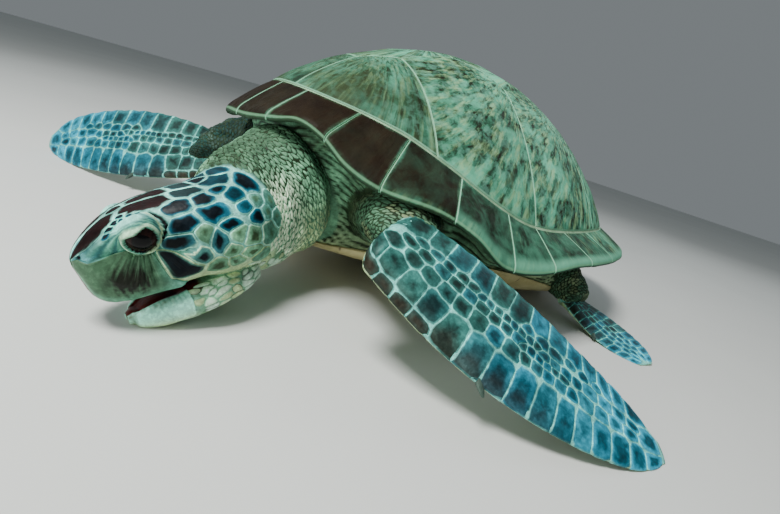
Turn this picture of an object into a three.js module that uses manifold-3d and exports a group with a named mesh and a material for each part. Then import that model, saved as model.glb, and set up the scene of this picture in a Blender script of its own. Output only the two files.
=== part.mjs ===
// Green sea turtle, life size, at rest on the ground with its head lowered to feed.
// Millimetres. In the turtle's own frame x is its left, -y is forwards and z is up, with the
// plastron's underside at z = 0 and the middle of the shell on x = 0, y = 0.
import * as THREE from 'three';
import { mergeVertices } from 'three/addons/utils/BufferGeometryUtils.js';
import Module from 'manifold-3d';

const wasm = await Module();
wasm.setup();

const RAD = Math.PI / 180;
const GAP = 0.4; // clearance between neighbouring pieces

// ---- driving dimensions -------------------------------------------------------------------
const SHELL_HALF_LENGTH = 500;
const SHELL_REAR_LENGTH = 520; // the rear marginals flare out beyond the dome
const SHELL_HALF_WIDTH = 340;
const SHELL_FRONT_BIAS = 0.18; // how much wider the shell is in front than behind
const SHELL_HEIGHT = 430;
const DOME_CENTRE_Y = -35;
const DOME_FULLNESS = 1.97; // exponent of the dome's side-to-top curve
const DOME_EDGE = 0.88; // under 1, so the costals rise steeply from the marginals
const SHELL_THICKNESS = 14;

// Around the rim, by the outline's own angle: 0 is the middle of the front, 180 of the rear.
// The rim arches over each side of the neck, then drops to its lowest place beside the shoulder.
const RIM_ANGLES = [0, 15, 25, 31, 37, 43, 50, 62, 70, 78, 88, 100, 130, 155, 180];
const RIM_HEIGHTS = [200, 197, 203, 209, 196, 168, 151, 144, 124, 90, 92, 116, 142, 158, 172];
const BELT_WIDTHS = [66, 62, 60, 62, 66, 70, 73, 71, 69, 67, 67, 68, 73, 86, 104];
const BELT_RISES = [66, 63, 50, 39, 47, 69, 77, 59, 60, 78, 62, 38, 38, 38, 40];

const NUCHAL_HALF_LENGTH = 69; // measured along the rim
const MARGINAL_LENGTHS = [87, 107, 92, 114, 128, 98, 119, 117, 111, 109, 103, 80];
const STEPS_PER_SCUTE = 2; // straight steps along each marginal's rim

// Corners of the vertebral scutes on the left: [x, y]
const VERTEBRAL_SEAMS = [[73, -327], [84, -150], [74, 62], [56, 255]];
const VERTEBRAL_CORNERS = [[111, -263], [124, -45], [108, 158]];
// Where the costals' seams reach the marginals, in marginals counted from the nuchal
const COSTAL_FEET = [0.5, 3.5, 6, 8.5, 10.5];

const PLASTRON_HALF_LENGTH = 372;
const PLASTRON_HALF_WIDTH = 222;
const PLASTRON_CENTRE_Y = -18;
const PLASTRON_THICKNESS = 16;
const BRIDGE_RISE = 46; // how far the plastron's sides turn up

// How the body lies on the ground
const BODY_ROLL = 6.3 * RAD; // left side up
const BODY_PITCH = 3.9 * RAD; // head end up
const BODY_LIFT = 21.5; // ground to the turtle's origin

// ---- solids ---------------------------------------------------------------------------------
function solid(geometry) {
  const position = geometry.attributes.position;
  const mesh = new wasm.Mesh({
    numProp: 3,
    vertProperties: new Float32Array(position.array),
    triVerts: new Uint32Array(geometry.index.array),
  });
  return new wasm.Manifold(mesh);
}

function geometryOf(body) {
  const mesh = body.getMesh();
  const geometry = new THREE.BufferGeometry();
  geometry.setAttribute('position', new THREE.BufferAttribute(mesh.vertProperties, 3));
  geometry.setIndex(new THREE.BufferAttribute(mesh.triVerts, 1));
  geometry.computeVertexNormals();
  return geometry;
}

// A closed skin over rings of equal count, from one end point to the other. The triangles are
// turned outwards, whichever way round the rings run.
function skinOver(rings, startPoint, endPoint) {
  const count = rings[0].length;
  const points = [startPoint, ...rings.flat(), endPoint];
  const last = points.length - 1;
  const faces = [];
  for (let i = 0; i < count; i++) {
    const next = (i + 1) % count;
    faces.push([0, 1 + next, 1 + i]);
    for (let r = 0; r + 1 < rings.length; r++) {
      const a = 1 + r * count;
      const b = a + count;
      faces.push([a + i, a + next, b + next], [a + i, b + next, b + i]);
    }
    const end = last - count;
    faces.push([last, end + i, end + next]);
  }
  let volume = 0;
  for (const [a, b, c] of faces) {
    const cross = new THREE.Vector3().crossVectors(points[b], points[c]);
    volume += points[a].dot(cross);
  }
  const turned = volume > 0 ? faces : faces.map(([a, b, c]) => [a, c, b]);
  const geometry = new THREE.BufferGeometry().setFromPoints(points);
  geometry.setIndex(turned.flat());
  return geometry;
}

function centreOf(ring) {
  const sum = new THREE.Vector3();
  ring.forEach((point) => sum.add(point));
  return sum.divideScalar(ring.length);
}

// Smooth value between knots (a cubic through all of them).
function smooth(knots, values, x) {
  let i = 0;
  while (i < knots.length - 2 && x > knots[i + 1]) i++;
  const slope = (k) => {
    const a = Math.max(k - 1, 0);
    const b = Math.min(k + 1, knots.length - 1);
    const flat = k === 0 || k === knots.length - 1;
    return flat ? 0 : (values[b] - values[a]) / (knots[b] - knots[a]);
  };
  const width = knots[i + 1] - knots[i];
  const t = THREE.MathUtils.clamp((x - knots[i]) / width, 0, 1);
  const [t2, t3] = [t * t, t * t * t];
  return (2 * t3 - 3 * t2 + 1) * values[i] + (t3 - 2 * t2 + t) * width * slope(i)
    + (3 * t2 - 2 * t3) * values[i + 1] + (t3 - t2) * width * slope(i + 1);
}

// ---- the shell --------------------------------------------------------------------------------
// A point of the outline: angle from the front's middle, positive on the left.
function outline(angle) {
  const s = Math.sin(angle);
  const c = Math.cos(angle);
  const half = c > 0 ? SHELL_HALF_LENGTH : SHELL_REAR_LENGTH;
  return new THREE.Vector2(SHELL_HALF_WIDTH * s * (1 + SHELL_FRONT_BIAS * c), -half * c);
}

// Everything the shell's section needs at one angle.
function section(angle) {
  const turn = Math.abs(angle) / RAD;
  const edge = outline(angle);
  const reach = edge.distanceTo(new THREE.Vector2(0, DOME_CENTRE_Y));
  const rim = smooth(RIM_ANGLES, RIM_HEIGHTS, turn);
  const belt = smooth(RIM_ANGLES, BELT_WIDTHS, turn);
  const rise = smooth(RIM_ANGLES, BELT_RISES, turn);
  return { edge, reach, rim, rise, inner: 1 - belt / reach };
}

// A point over the plan at a share of the way from the dome's centre to the outline.
function over(cut, share, z) {
  return new THREE.Vector3(cut.edge.x * share, DOME_CENTRE_Y + (cut.edge.y - DOME_CENTRE_Y) * share, z);
}

function domeHeight(cut, share) {
  const foot = cut.rim + cut.rise;
  const t = Math.min(share / cut.inner, 1);
  return foot + (SHELL_HEIGHT - foot) * (1 - t ** DOME_FULLNESS) ** DOME_EDGE;
}

// Angles of the marginals' seams, from their lengths along the rim.
function seamAngles() {
  const samples = 720;
  const travelled = [0];
  for (let i = 1; i <= samples; i++) {
    const step = outline((i / samples) * Math.PI).distanceTo(outline(((i - 1) / samples) * Math.PI));
    travelled.push(travelled[i - 1] + step);
  }
  const total = travelled[samples];
  const drawn = NUCHAL_HALF_LENGTH + MARGINAL_LENGTHS.reduce((a, b) => a + b, 0);
  let along = (NUCHAL_HALF_LENGTH * total) / drawn;
  const angles = [];
  for (const length of [...MARGINAL_LENGTHS, 0]) {
    const i = travelled.findIndex((s) => s >= along - 1e-6);
    angles.push((i / samples) * Math.PI);
    along += (length * total) / drawn;
  }
  angles[angles.length - 1] = Math.PI;
  return angles;
}

const SEAMS = seamAngles();

// The angle at a place counted in marginals: 0 is the nuchal's edge, 12 the rear's middle.
function angleAt(count) {
  const i = Math.min(Math.floor(count), SEAMS.length - 2);
  return THREE.MathUtils.lerp(SEAMS[i], SEAMS[i + 1], count - i);
}

// All angles at which the shell has a section, right round from the rear to the rear.
function rimAngles() {
  const left = [0, SEAMS[0] / 2];
  for (let k = 0; k < STEPS_PER_SCUTE * MARGINAL_LENGTHS.length; k++) left.push(angleAt(k / STEPS_PER_SCUTE));
  const right = left.slice(1).map((angle) => -angle).reverse();
  return [...right, ...left, Math.PI];
}

const ANGLES = rimAngles();
const TOP_SHARES = [0.3, 0.54, 0.74, 0.89, 1];
const UNDER_SHARES = [0.9, 0.68, 0.45];

// The shell as a bowl: dome, belt of marginals, rim and the hollow underside. A clearance
// thickens it on every side.
function bowl(clearance) {
  const cuts = ANGLES.map(section);
  const ring = (place) => cuts.map(place);
  const outward = (cut, share) => share + (clearance / cut.reach) * 1.2;
  const rings = TOP_SHARES.map((share) => ring((cut) => {
    const at = share * cut.inner;
    return over(cut, outward(cut, at), domeHeight(cut, at) + clearance);
  }));
  rings.push(ring((cut) => {
    const at = (1 + cut.inner) / 2;
    return over(cut, outward(cut, at), cut.rim + cut.rise * 0.54 + clearance);
  }));
  rings.push(ring((cut) => over(cut, outward(cut, 1), cut.rim + clearance)));
  rings.push(ring((cut) => over(cut, outward(cut, 0.995), cut.rim - 11 - clearance)));
  rings.push(ring((cut) => over(cut, cut.inner - 0.02, cut.rim + cut.rise * 0.3 - clearance)));
  for (const share of UNDER_SHARES) {
    rings.push(ring((cut) => {
      const at = share * cut.inner;
      return over(cut, at, domeHeight(cut, at) - SHELL_THICKNESS - (share === 0.9 ? 6 : 0) - clearance);
    }));
  }
  const apex = new THREE.Vector3(0, DOME_CENTRE_Y, SHELL_HEIGHT + clearance);
  const under = new THREE.Vector3(0, DOME_CENTRE_Y, SHELL_HEIGHT - SHELL_THICKNESS - clearance);
  return solid(skinOver(rings, apex, under));
}

// A plan outline moved inwards, so that neighbours keep a seam between them.
function inset(points, amount) {
  const area = points.reduce((sum, p, i) => {
    const q = points[(i + 1) % points.length];
    return sum + p.x * q.y - q.x * p.y;
  }, 0);
  const side = Math.sign(area);
  return points.map((point, i) => {
    const before = points[(i + points.length - 1) % points.length];
    const after = points[(i + 1) % points.length];
    const a = new THREE.Vector2().subVectors(point, before).normalize();
    const b = new THREE.Vector2().subVectors(after, point).normalize();
    const bisector = new THREE.Vector2(-(a.y + b.y), a.x + b.x).normalize();
    const reach = amount / Math.max(bisector.dot(new THREE.Vector2(-a.y, a.x)), 0.3);
    return point.clone().addScaledVector(bisector, side * reach);
  });
}

// A tall prism over a plan outline.
function prism(points) {
  const shape = new THREE.Shape(inset(points, GAP / 2));
  const geometry = new THREE.ExtrudeGeometry(shape, { depth: 800, bevelEnabled: false });
  geometry.translate(0, 0, -100);
  geometry.deleteAttribute('normal');
  geometry.deleteAttribute('uv');
  return solid(mergeVertices(geometry));
}

const mirrored = (points) => points.map((p) => new THREE.Vector2(-p.x, p.y));
const cornerOf = ([x, y]) => new THREE.Vector2(x, y);

// The belt's inner edge between two places counted in marginals, at the shell's own sections.
function beltLine(from, to) {
  const stops = [from];
  for (let k = Math.floor(from * STEPS_PER_SCUTE) + 1; k < to * STEPS_PER_SCUTE - 1e-6; k++) {
    stops.push(k / STEPS_PER_SCUTE);
  }
  stops.push(to);
  return stops.map((stop) => {
    const cut = section(angleAt(stop));
    const point = over(cut, cut.inner, 0);
    return new THREE.Vector2(point.x, point.y);
  });
}

function rimLine(angles, share) {
  return angles.map((angle) => {
    const point = over(section(angle), share, 0);
    return new THREE.Vector2(point.x, point.y);
  });
}

function marginalPlan(index) {
  const inner = beltLine(index, index + 1);
  const steps = [...Array(STEPS_PER_SCUTE + 1).keys()];
  const outer = rimLine(steps.map((k) => angleAt(index + k / STEPS_PER_SCUTE)), 1.06);
  return [...inner, ...outer.reverse()];
}

function nuchalPlan() {
  const angles = [-SEAMS[0], -SEAMS[0] / 2, 0, SEAMS[0] / 2, SEAMS[0]];
  const inner = angles.map((angle) => {
    const cut = section(angle);
    const point = over(cut, cut.inner, 0);
    return new THREE.Vector2(point.x, point.y);
  });
  return [...inner, ...rimLine(angles, 1.06).reverse()];
}

// The costals lie between the vertebrals' zigzag and the belt.
function costalPlan(index) {
  const seams = VERTEBRAL_SEAMS.map(cornerOf);
  const corners = VERTEBRAL_CORNERS.map(cornerOf);
  const foot = beltLine(COSTAL_FEET[index], COSTAL_FEET[index + 1]);
  const back = index < 3 ? [corners[index], seams[index]] : [seams[3]];
  const front = index > 0 ? [corners[index - 1]] : [];
  return [...foot, ...back, ...front];
}

function vertebralPlan(index) {
  const seams = VERTEBRAL_SEAMS.map(cornerOf);
  const corners = VERTEBRAL_CORNERS.map(cornerOf);
  let left = [];
  if (index === 0) {
    const front = beltLine(0, COSTAL_FEET[0]);
    const middle = nuchalPlan().slice(2, 4);
    left = [...middle, ...front, seams[0]];
  } else if (index < 4) {
    left = [seams[index - 1], corners[index - 1], seams[index]];
  } else {
    left = [seams[3], ...beltLine(COSTAL_FEET[4], 12)];
  }
  const right = mirrored(left).reverse();
  const apart = (points) => points.filter((p, i) => p.distanceTo(points[(i + 1) % points.length]) > 0.01);
  return apart([...left, ...right]);
}

// ---- the plastron and the trunk ------------------------------------------------------------------
function plastronPoint(angle, share, z) {
  const s = Math.sin(angle);
  const x = PLASTRON_HALF_WIDTH * Math.sign(s) * Math.abs(s) ** 0.8;
  return new THREE.Vector3(x * share, PLASTRON_CENTRE_Y - PLASTRON_HALF_LENGTH * Math.cos(angle) * share, z);
}

function plastronUnderside(angle, share) {
  const turn = Math.max(share - 0.66, 0) / 0.34;
  return (12 + (BRIDGE_RISE - 12) * Math.sin(angle) ** 4) * turn * turn;
}

const ROUND = 30;
const around = (place) => [...Array(ROUND).keys()].map((i) => place((i / ROUND) * 2 * Math.PI));

function plastron(clearance) {
  const shares = [0.35, 0.68, 0.86, 1];
  const wide = clearance / PLASTRON_HALF_WIDTH;
  const under = shares.map((share) => around((angle) => (
    plastronPoint(angle, share + wide, plastronUnderside(angle, share) - clearance))));
  const upper = [...shares].reverse().map((share, i) => around((angle) => {
    const thickness = i === 0 ? PLASTRON_THICKNESS * 0.6 : PLASTRON_THICKNESS;
    return plastronPoint(angle, share + wide, plastronUnderside(angle, share) + thickness + clearance);
  }));
  const bottom = new THREE.Vector3(0, PLASTRON_CENTRE_Y, -clearance);
  const top = new THREE.Vector3(0, PLASTRON_CENTRE_Y, PLASTRON_THICKNESS + clearance);
  return solid(skinOver([...under, ...upper], bottom, top));
}

// The trunk fills the bowl, and its flanks run down from under the rim to the plastron. Over the
// shoulders slack skin swells out to the rim; it draws in again behind them.
const TRUNK_SHARES = [0.45, 0.68, 0.9];
const SLACK_REACH = 0.1; // as a share of the way out from the dome's centre
const SLACK_ENDS = [85, 118]; // degrees round the outline, where it starts and stops drawing in
const BONE_GAP = 3; // the trunk keeps this clear of the shell's hidden inner faces

function trunkBlank(clearance) {
  const everyOther = ANGLES.slice(0, -1).filter((_, i) => i % 2 === 0);
  const cuts = everyOther.map((angle) => ({ ...section(angle), angle }));
  const inside = SHELL_THICKNESS + BONE_GAP - clearance;
  const rings = TRUNK_SHARES.map((share) => cuts.map((cut) => {
    const at = share * cut.inner;
    return over(cut, at, domeHeight(cut, at) - inside - (share === 0.9 ? 6 : 0));
  }));
  const swell = clearance / 300;
  const slack = (cut) => 1 - THREE.MathUtils.smoothstep(Math.abs(cut.angle) / RAD, ...SLACK_ENDS);
  rings.push(cuts.map((cut) => {
    const tucked = cut.rise * 0.3 - BONE_GAP;
    const height = cut.rim + THREE.MathUtils.lerp(tucked, 2, slack(cut)) + clearance;
    return over(cut, cut.inner - 0.05 + SLACK_REACH * slack(cut) + swell, height);
  }));
  rings.push(cuts.map((cut) => {
    const height = THREE.MathUtils.lerp(cut.rim, BRIDGE_RISE, 0.5);
    return over(cut, cut.inner - 0.09 + 0.6 * SLACK_REACH * slack(cut) + swell, height);
  }));
  const skirt = (share, lift) => cuts.map(({ angle }) => (
    plastronPoint(angle, share + swell, plastronUnderside(angle, share) + lift)));
  rings.push(skirt(1.02, PLASTRON_THICKNESS), skirt(0.97, PLASTRON_THICKNESS * 0.6 + BONE_GAP - clearance));
  rings.push(skirt(0.86, PLASTRON_THICKNESS + BONE_GAP - clearance));
  rings.push(skirt(0.66, PLASTRON_THICKNESS + BONE_GAP - clearance));
  const top = new THREE.Vector3(0, DOME_CENTRE_Y, SHELL_HEIGHT - inside);
  const bottom = new THREE.Vector3(0, PLASTRON_CENTRE_Y, PLASTRON_THICKNESS + BONE_GAP - clearance);
  return solid(skinOver(rings, top, bottom));
}

// ---- head and neck ----------------------------------------------------------------------------------
const SNOUT = new THREE.Vector3(276, -650, -14);
const HEAD_YAW = 23 * RAD; // towards the left
const HEAD_PITCH = -20 * RAD;
const HEAD_ROLL = 8 * RAD; // left side up
// Sections of the head: [back from the snout, half width, top, bottom]
const HEAD_SECTIONS = [
  [3, 10, 5, -20], [10, 20, 14, -48], [25, 33, 27, -61], [45, 45, 39, -60], [68, 55, 47, -59],
  [94, 62, 52, -60], [123, 68, 55, -60], [150, 70, 53, -65], [178, 66, 48, -72], [200, 55, 40, -74],
];
// Sections of the lower jaw: [back from the snout, half width, top, bottom]
const JAW_SECTIONS = [
  [36, 10, -84, -101], [47, 23, -75, -107], [68, 36, -66, -110], [94, 47, -62, -110], [124, 56, -58, -106],
  [150, 58, -52, -102], [175, 52, -50, -98], [196, 40, -54, -92],
];
const EYE_RADIUS = 22;
const EYE_PLACE = [66, 34, 18]; // back from the snout, out from the middle, up

function headMatrix() {
  const forward = new THREE.Vector3(
    Math.sin(HEAD_YAW) * Math.cos(HEAD_PITCH),
    -Math.cos(HEAD_YAW) * Math.cos(HEAD_PITCH),
    Math.sin(HEAD_PITCH));
  const level = new THREE.Vector3(Math.cos(HEAD_YAW), Math.sin(HEAD_YAW), 0);
  const upright = new THREE.Vector3().crossVectors(level, forward).negate();
  const left = level.clone().multiplyScalar(Math.cos(HEAD_ROLL));
  left.addScaledVector(upright, Math.sin(HEAD_ROLL));
  const up = new THREE.Vector3().crossVectors(forward, left);
  if (up.z < 0) up.negate();
  const back = forward.clone().negate();
  return new THREE.Matrix4().makeBasis(left, back, up).setPosition(SNOUT);
}

const HEAD = headMatrix();
const headPoint = (back, out, up) => new THREE.Vector3(out, back, up).applyMatrix4(HEAD);

// A section with a rounded-square outline, squarer below its middle than above.
function sectionRing([back, half, top, bottom], count, squareness, clearance) {
  const middle = (top + bottom) / 2;
  const tall = (top - bottom) / 2;
  return [...Array(count).keys()].map((i) => {
    const turn = (i / count) * 2 * Math.PI;
    const [c, s] = [Math.cos(turn), Math.sin(turn)];
    const power = s < 0 ? squareness[1] : squareness[0];
    const round = (value) => Math.sign(value) * Math.abs(value) ** power;
    return headPoint(back, (half + clearance) * round(c), middle + (tall + clearance) * round(s));
  });
}

function skull(clearance) {
  const rings = HEAD_SECTIONS.map((row) => sectionRing(row, 18, [0.85, 0.7], clearance));
  return solid(skinOver(rings, headPoint(-clearance, 0, -3), headPoint(204 + clearance, 0, -6)));
}

function lowerJaw(clearance) {
  const rings = JAW_SECTIONS.map((row) => sectionRing(row, 14, [0.8, 0.8], clearance));
  return solid(skinOver(rings, headPoint(34 - clearance, 0, -95), headPoint(202 + clearance, 0, -72)));
}

function eyeball(side, clearance) {
  const radius = EYE_RADIUS + clearance;
  const [eyeBack, eyeOut, eyeUp] = EYE_PLACE;
  const at = (back, out, up) => headPoint(eyeBack + back, side * (eyeOut + out), eyeUp + up);
  const rings = [1, 2, 3, 4, 5, 6].map((step) => {
    const lift = (step / 7) * Math.PI;
    const [flat, out] = [radius * Math.sin(lift), radius * Math.cos(lift)];
    return [...Array(12).keys()].map((i) => {
      const turn = (i / 12) * 2 * Math.PI;
      return at(flat * Math.cos(turn), out, flat * Math.sin(turn));
    });
  });
  return solid(skinOver(rings, at(0, radius, 0), at(0, -radius, 0)));
}

// ---- limbs and tail ---------------------------------------------------------------------------------
// An oval tube along a curve of points, with a width, a height and a roll at each.
function oval(centre, wide, tall, count) {
  return [...Array(count).keys()].map((i) => {
    const turn = (i / count) * 2 * Math.PI;
    return centre.clone().addScaledVector(wide, Math.cos(turn)).addScaledVector(tall, Math.sin(turn));
  });
}

const vector = ([x, y, z]) => new THREE.Vector3(x, y, z);

// A limb's stump: an egg-ended tube from inside the trunk to the joint.
function tube(stops, radii, count, clearance, steps = 4) {
  const path = new THREE.CatmullRomCurve3(stops.map(vector));
  const rings = [];
  for (let j = 0; j <= steps; j++) {
    const t = j / steps;
    const along = path.getTangent(t);
    const wide = new THREE.Vector3().crossVectors(along, new THREE.Vector3(0, 0, 1)).normalize();
    const tall = new THREE.Vector3().crossVectors(wide, along);
    const place = t * (radii.length - 1);
    const k = Math.min(Math.floor(place), radii.length - 2);
    const between = (n) => THREE.MathUtils.lerp(radii[k][n], radii[k + 1][n], place - k) + clearance;
    const [w, h] = [between(0), between(1)];
    rings.push(oval(path.getPoint(t), wide.multiplyScalar(w), tall.multiplyScalar(h), count));
  }
  const reach = clearance + radii[radii.length - 1][1] * 0.35;
  const end = path.getPoint(1).addScaledVector(path.getTangent(1), reach);
  return solid(skinOver(rings, centreOf(rings[0]), end));
}

const LEADING_SHIFT = -0.025; // how far the blade's middle lies ahead of its axis, in chords

// Where a blade is and how it lies at a share of its length. The leading edge dips towards the
// ground by the tilt, and by the twist as well at the tip.
function bladeFrame({ root, tip, bulge, tilt, twist, side }, t) {
  const [from, to] = [vector(root), vector(tip)];
  const control = from.clone().add(to).multiplyScalar(0.5).addScaledVector(vector(bulge), 2);
  const path = new THREE.QuadraticBezierCurve3(from, control, to);
  const along = path.getTangent(t);
  const up = GROUND_UP.clone().addScaledVector(along, -GROUND_UP.dot(along)).normalize();
  const level = new THREE.Vector3().crossVectors(along, up).multiplyScalar(side);
  const lean = tilt + twist * t;
  const lead = level.multiplyScalar(Math.cos(lean)).addScaledVector(up, -Math.sin(lean));
  return { point: path.getPoint(t), along, up, lead };
}

const ROOT_CAP = 22; // the blade's round ends reach this far beyond its first and last sections
const TIP_CAP = 4;

// A flat blade of oval sections, thinner towards its tip.
function blade(row) {
  const { chords, thickness } = row;
  const rings = chords.map((chord, j) => {
    const t = j / (chords.length - 1);
    const { point, along, lead } = bladeFrame(row, t);
    const proud = new THREE.Vector3().crossVectors(along, lead).normalize();
    const centre = point.addScaledVector(lead, LEADING_SHIFT * chord);
    const high = THREE.MathUtils.lerp(thickness[0], thickness[1], Math.sqrt(t)) / 2;
    return oval(centre, lead.clone().multiplyScalar(chord / 2), proud.multiplyScalar(high), 12);
  });
  const [root, tip] = [bladeFrame(row, 0), bladeFrame(row, 1)];
  const start = root.point.addScaledVector(root.along, -ROOT_CAP);
  const end = tip.point.addScaledVector(tip.along, TIP_CAP);
  return solid(skinOver(rings, start, end));
}

const FRONT_CHORDS = [124, 146, 161, 166, 162, 150, 131, 100, 44];
const HIND_CHORDS = [62, 84, 100, 106, 102, 86, 46];

// The ground's upward direction in the turtle's own frame.
const GROUND_UP = new THREE.Vector3(
  Math.sin(BODY_ROLL), -Math.sin(BODY_PITCH), Math.cos(BODY_ROLL) * Math.cos(BODY_PITCH)).normalize();

const LIMBS = {
  flipper_front_left: {
    arm: [[170, -235, 112], [262, -258, 104], [312, -276, 90], [340, -288, 77]],
    radii: [[80, 68], [66, 52], [46, 31], [26, 14]],
    blade: { root: [338, -301, 84], tip: [572, 52, -77], bulge: [22, 0, -14],
      tilt: 33 * RAD, twist: -12 * RAD, chords: FRONT_CHORDS, thickness: [48, 9], side: 1 },
  },
  flipper_front_right: {
    arm: [[-190, -290, 140], [-226, -400, 138], [-246, -466, 116], [-268, -514, 82]],
    radii: [[84, 76], [80, 66], [64, 48], [38, 18]],
    blade: { root: [-240, -480, 88], tip: [-516, -820, 0], bulge: [28, -16, 12],
      tilt: 44 * RAD, twist: 28 * RAD, chords: FRONT_CHORDS, thickness: [48, 9], side: -1 },
  },
  flipper_hind_left: {
    arm: [[130, 240, 76], [172, 256, 50], [214, 266, 24]],
    radii: [[66, 52], [56, 42], [42, 28]],
    blade: { root: [200, 256, 16], tip: [388, 300, -42], bulge: [-6, 12, -4],
      tilt: 8 * RAD, twist: 2 * RAD, chords: HIND_CHORDS, thickness: [38, 8], side: 1 },
  },
  flipper_hind_right: {
    arm: [[-130, 240, 80], [-172, 270, 62], [-206, 300, 46]],
    radii: [[66, 48], [56, 38], [42, 26]],
    blade: { root: [-198, 292, 42], tip: [-352, 452, 58], bulge: [-8, -10, -4],
      tilt: 10 * RAD, twist: 2 * RAD, chords: HIND_CHORDS, thickness: [36, 8], side: -1 },
  },
};

const NECK = { stops: [[60, -290, 126], [104, -394, 94], [164, -464, 52], [216, -506, 20]],
  radii: [[108, 90], [94, 102], [78, 95], [64, 78]] };
const TAIL = { stops: [[0, 330, 66], [4, 400, 50], [12, 470, 34], [18, 512, 26]],
  radii: [[44, 34], [34, 26], [22, 17], [9, 8]] };

// Claws: [limb, place along the blade from root 0 to tip 1, length]
const CLAWS = [
  ['flipper_front_left', 0.36, 24], ['flipper_front_right', 0.36, 24],
  ['flipper_hind_left', 0.5, 17], ['flipper_hind_right', 0.5, 17],
];

const CLAW_SECTIONS = [[-0.08, 6], [0.45, 4.6], [0.8, 2.4]]; // [share of the length, half width]

// A claw rises from just inside the leading edge and points out and back.
function claw([limb, place, length]) {
  const row = LIMBS[limb].blade;
  const { point, along, up, lead } = bladeFrame(row, place);
  const chord = row.chords[Math.round(place * (row.chords.length - 1))];
  const base = point.addScaledVector(lead, chord * 0.45 - 5);
  const aim = lead.clone().multiplyScalar(0.8).addScaledVector(along, 0.6).normalize();
  const across = new THREE.Vector3().crossVectors(aim, up).normalize();
  const at = (out) => base.clone().addScaledVector(aim, out);
  const rings = CLAW_SECTIONS.map(([share, size]) => oval(at(share * length),
    across.clone().multiplyScalar(size), up.clone().multiplyScalar(size * 0.8), 8));
  return solid(skinOver(rings, at(-3), at(length)));
}

// ---- putting it together ------------------------------------------------------------------------------
// The largest piece of a cut solid: chips left beyond a neighbour are dropped.
function largest(body) {
  const pieces = body.decompose();
  return pieces.reduce((best, piece) => (piece.volume() > best.volume() ? piece : best));
}

const ground = new THREE.Group();
ground.name = 'green_sea_turtle';
const pose = new THREE.Group();
const east = new THREE.Vector3(1, 0, 0).addScaledVector(GROUND_UP, -GROUND_UP.x).normalize();
const north = new THREE.Vector3().crossVectors(GROUND_UP, east);
pose.quaternion.setFromRotationMatrix(new THREE.Matrix4().makeBasis(east, north, GROUND_UP)).invert();
pose.position.z = BODY_LIFT;
ground.add(pose);

// Everything under the ground's level, in the turtle's own frame.
function belowGround() {
  pose.updateMatrix();
  const back = pose.matrix.clone().invert();
  const corner = (x, y, z) => new THREE.Vector3(x, y, z).applyMatrix4(back);
  const turns = [[-1, -1], [1, -1], [1, 1], [-1, 1]];
  const square = (z) => turns.map(([x, y]) => corner(2000 * x, 2000 * y, z));
  return solid(skinOver([square(-400), square(0)], corner(0, 0, -400), corner(0, 0, 0)));
}

const UNDERGROUND = belowGround();

function add(name, body, colour, roughness) {
  const kept = largest(body.subtract(UNDERGROUND));
  const material = new THREE.MeshStandardMaterial({ color: colour, roughness, metalness: 0 });
  const mesh = new THREE.Mesh(geometryOf(kept), material);
  mesh.name = name;
  pose.add(mesh);
}

function addShell() {
  const shell = bowl(0);
  const scute = (name, plan, colour) => add(name, shell.intersect(prism(plan)), colour, 0.55);
  scute('nuchal', nuchalPlan(), 0x4a3326);
  for (const [side, turn] of [['left', (p) => p], ['right', mirrored]]) {
    for (let k = 0; k < MARGINAL_LENGTHS.length; k++) {
      scute(`marginal_${side}_${k + 1}`, turn(marginalPlan(k)), k < 3 ? 0x503a2a : 0x5f7a63);
    }
    for (let k = 0; k < 4; k++) scute(`costal_${side}_${k + 1}`, turn(costalPlan(k)), 0x6c8468);
  }
  for (let k = 0; k < 5; k++) scute(`vertebral_${k + 1}`, vertebralPlan(k), 0x6c8468);
}

function addFlesh() {
  const shell = bowl(GAP);
  const belly = plastron(GAP);
  const skin = (name, body) => add(name, body, 0x6f8f74, 0.7);
  const trunk = trunkBlank(0).subtract(shell).subtract(belly);
  const trunkRoom = trunkBlank(GAP);
  const jaw = lowerJaw(0);
  const eyeRoom = eyeball(1, GAP).add(eyeball(-1, GAP));
  const clear = (body) => body.subtract(shell).subtract(belly).subtract(trunkRoom);
  const neckTube = (clearance) => tube(NECK.stops, NECK.radii, 18, clearance);
  add('plastron', plastron(0), 0xb9a66a, 0.6);
  skin('trunk', trunk);
  skin('neck', clear(neckTube(0)).subtract(skull(GAP)).subtract(lowerJaw(GAP)));
  add('head', skull(0).subtract(eyeRoom).subtract(lowerJaw(GAP)), 0x3f6672, 0.5);
  add('lower_jaw', jaw, 0xb8b48c, 0.5);
  add('eye_left', eyeball(1, 0), 0x120d0c, 0.12);
  add('eye_right', eyeball(-1, 0), 0x120d0c, 0.12);
  for (const [name, limb] of Object.entries(LIMBS)) {
    const whole = tube(limb.arm, limb.radii, 12, 0).add(blade(limb.blade));
    const row = CLAWS.find(([owner]) => owner === name);
    skin(name, clear(whole).subtract(neckTube(GAP)));
    const nail = claw(row).subtract(swollen(name));
    add(name.replace('flipper', 'claw'), nail, 0xcfc8a4, 0.4);
  }
  const tail = tube(TAIL.stops, TAIL.radii, 10, 0);
  skin('tail', clear(tail));
}

// A limb's blade made a little larger, to keep the claw clear of it.
function swollen(name) {
  const { blade: row } = LIMBS[name];
  const chords = row.chords.map((chord) => chord + 3 * GAP);
  const thickness = row.thickness.map((depth) => depth + 3 * GAP);
  return blade({ ...row, chords, thickness });
}

addShell();
addFlesh();

// The origin is on the ground under the middle of the whole animal.
const box = new THREE.Box3().setFromObject(ground, true);
pose.position.x -= (box.min.x + box.max.x) / 2;
pose.position.y -= (box.min.y + box.max.y) / 2;

export default ground;
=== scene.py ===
# %% [markdown]
# # A green sea turtle, grazing
# The turtle lies on the ground with its head lowered and twisted to feed, one front flipper
# swept back and the other reaching forward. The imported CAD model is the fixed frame: every
# surface below is worked out in the same millimetres and ends up where that frame says.

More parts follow.
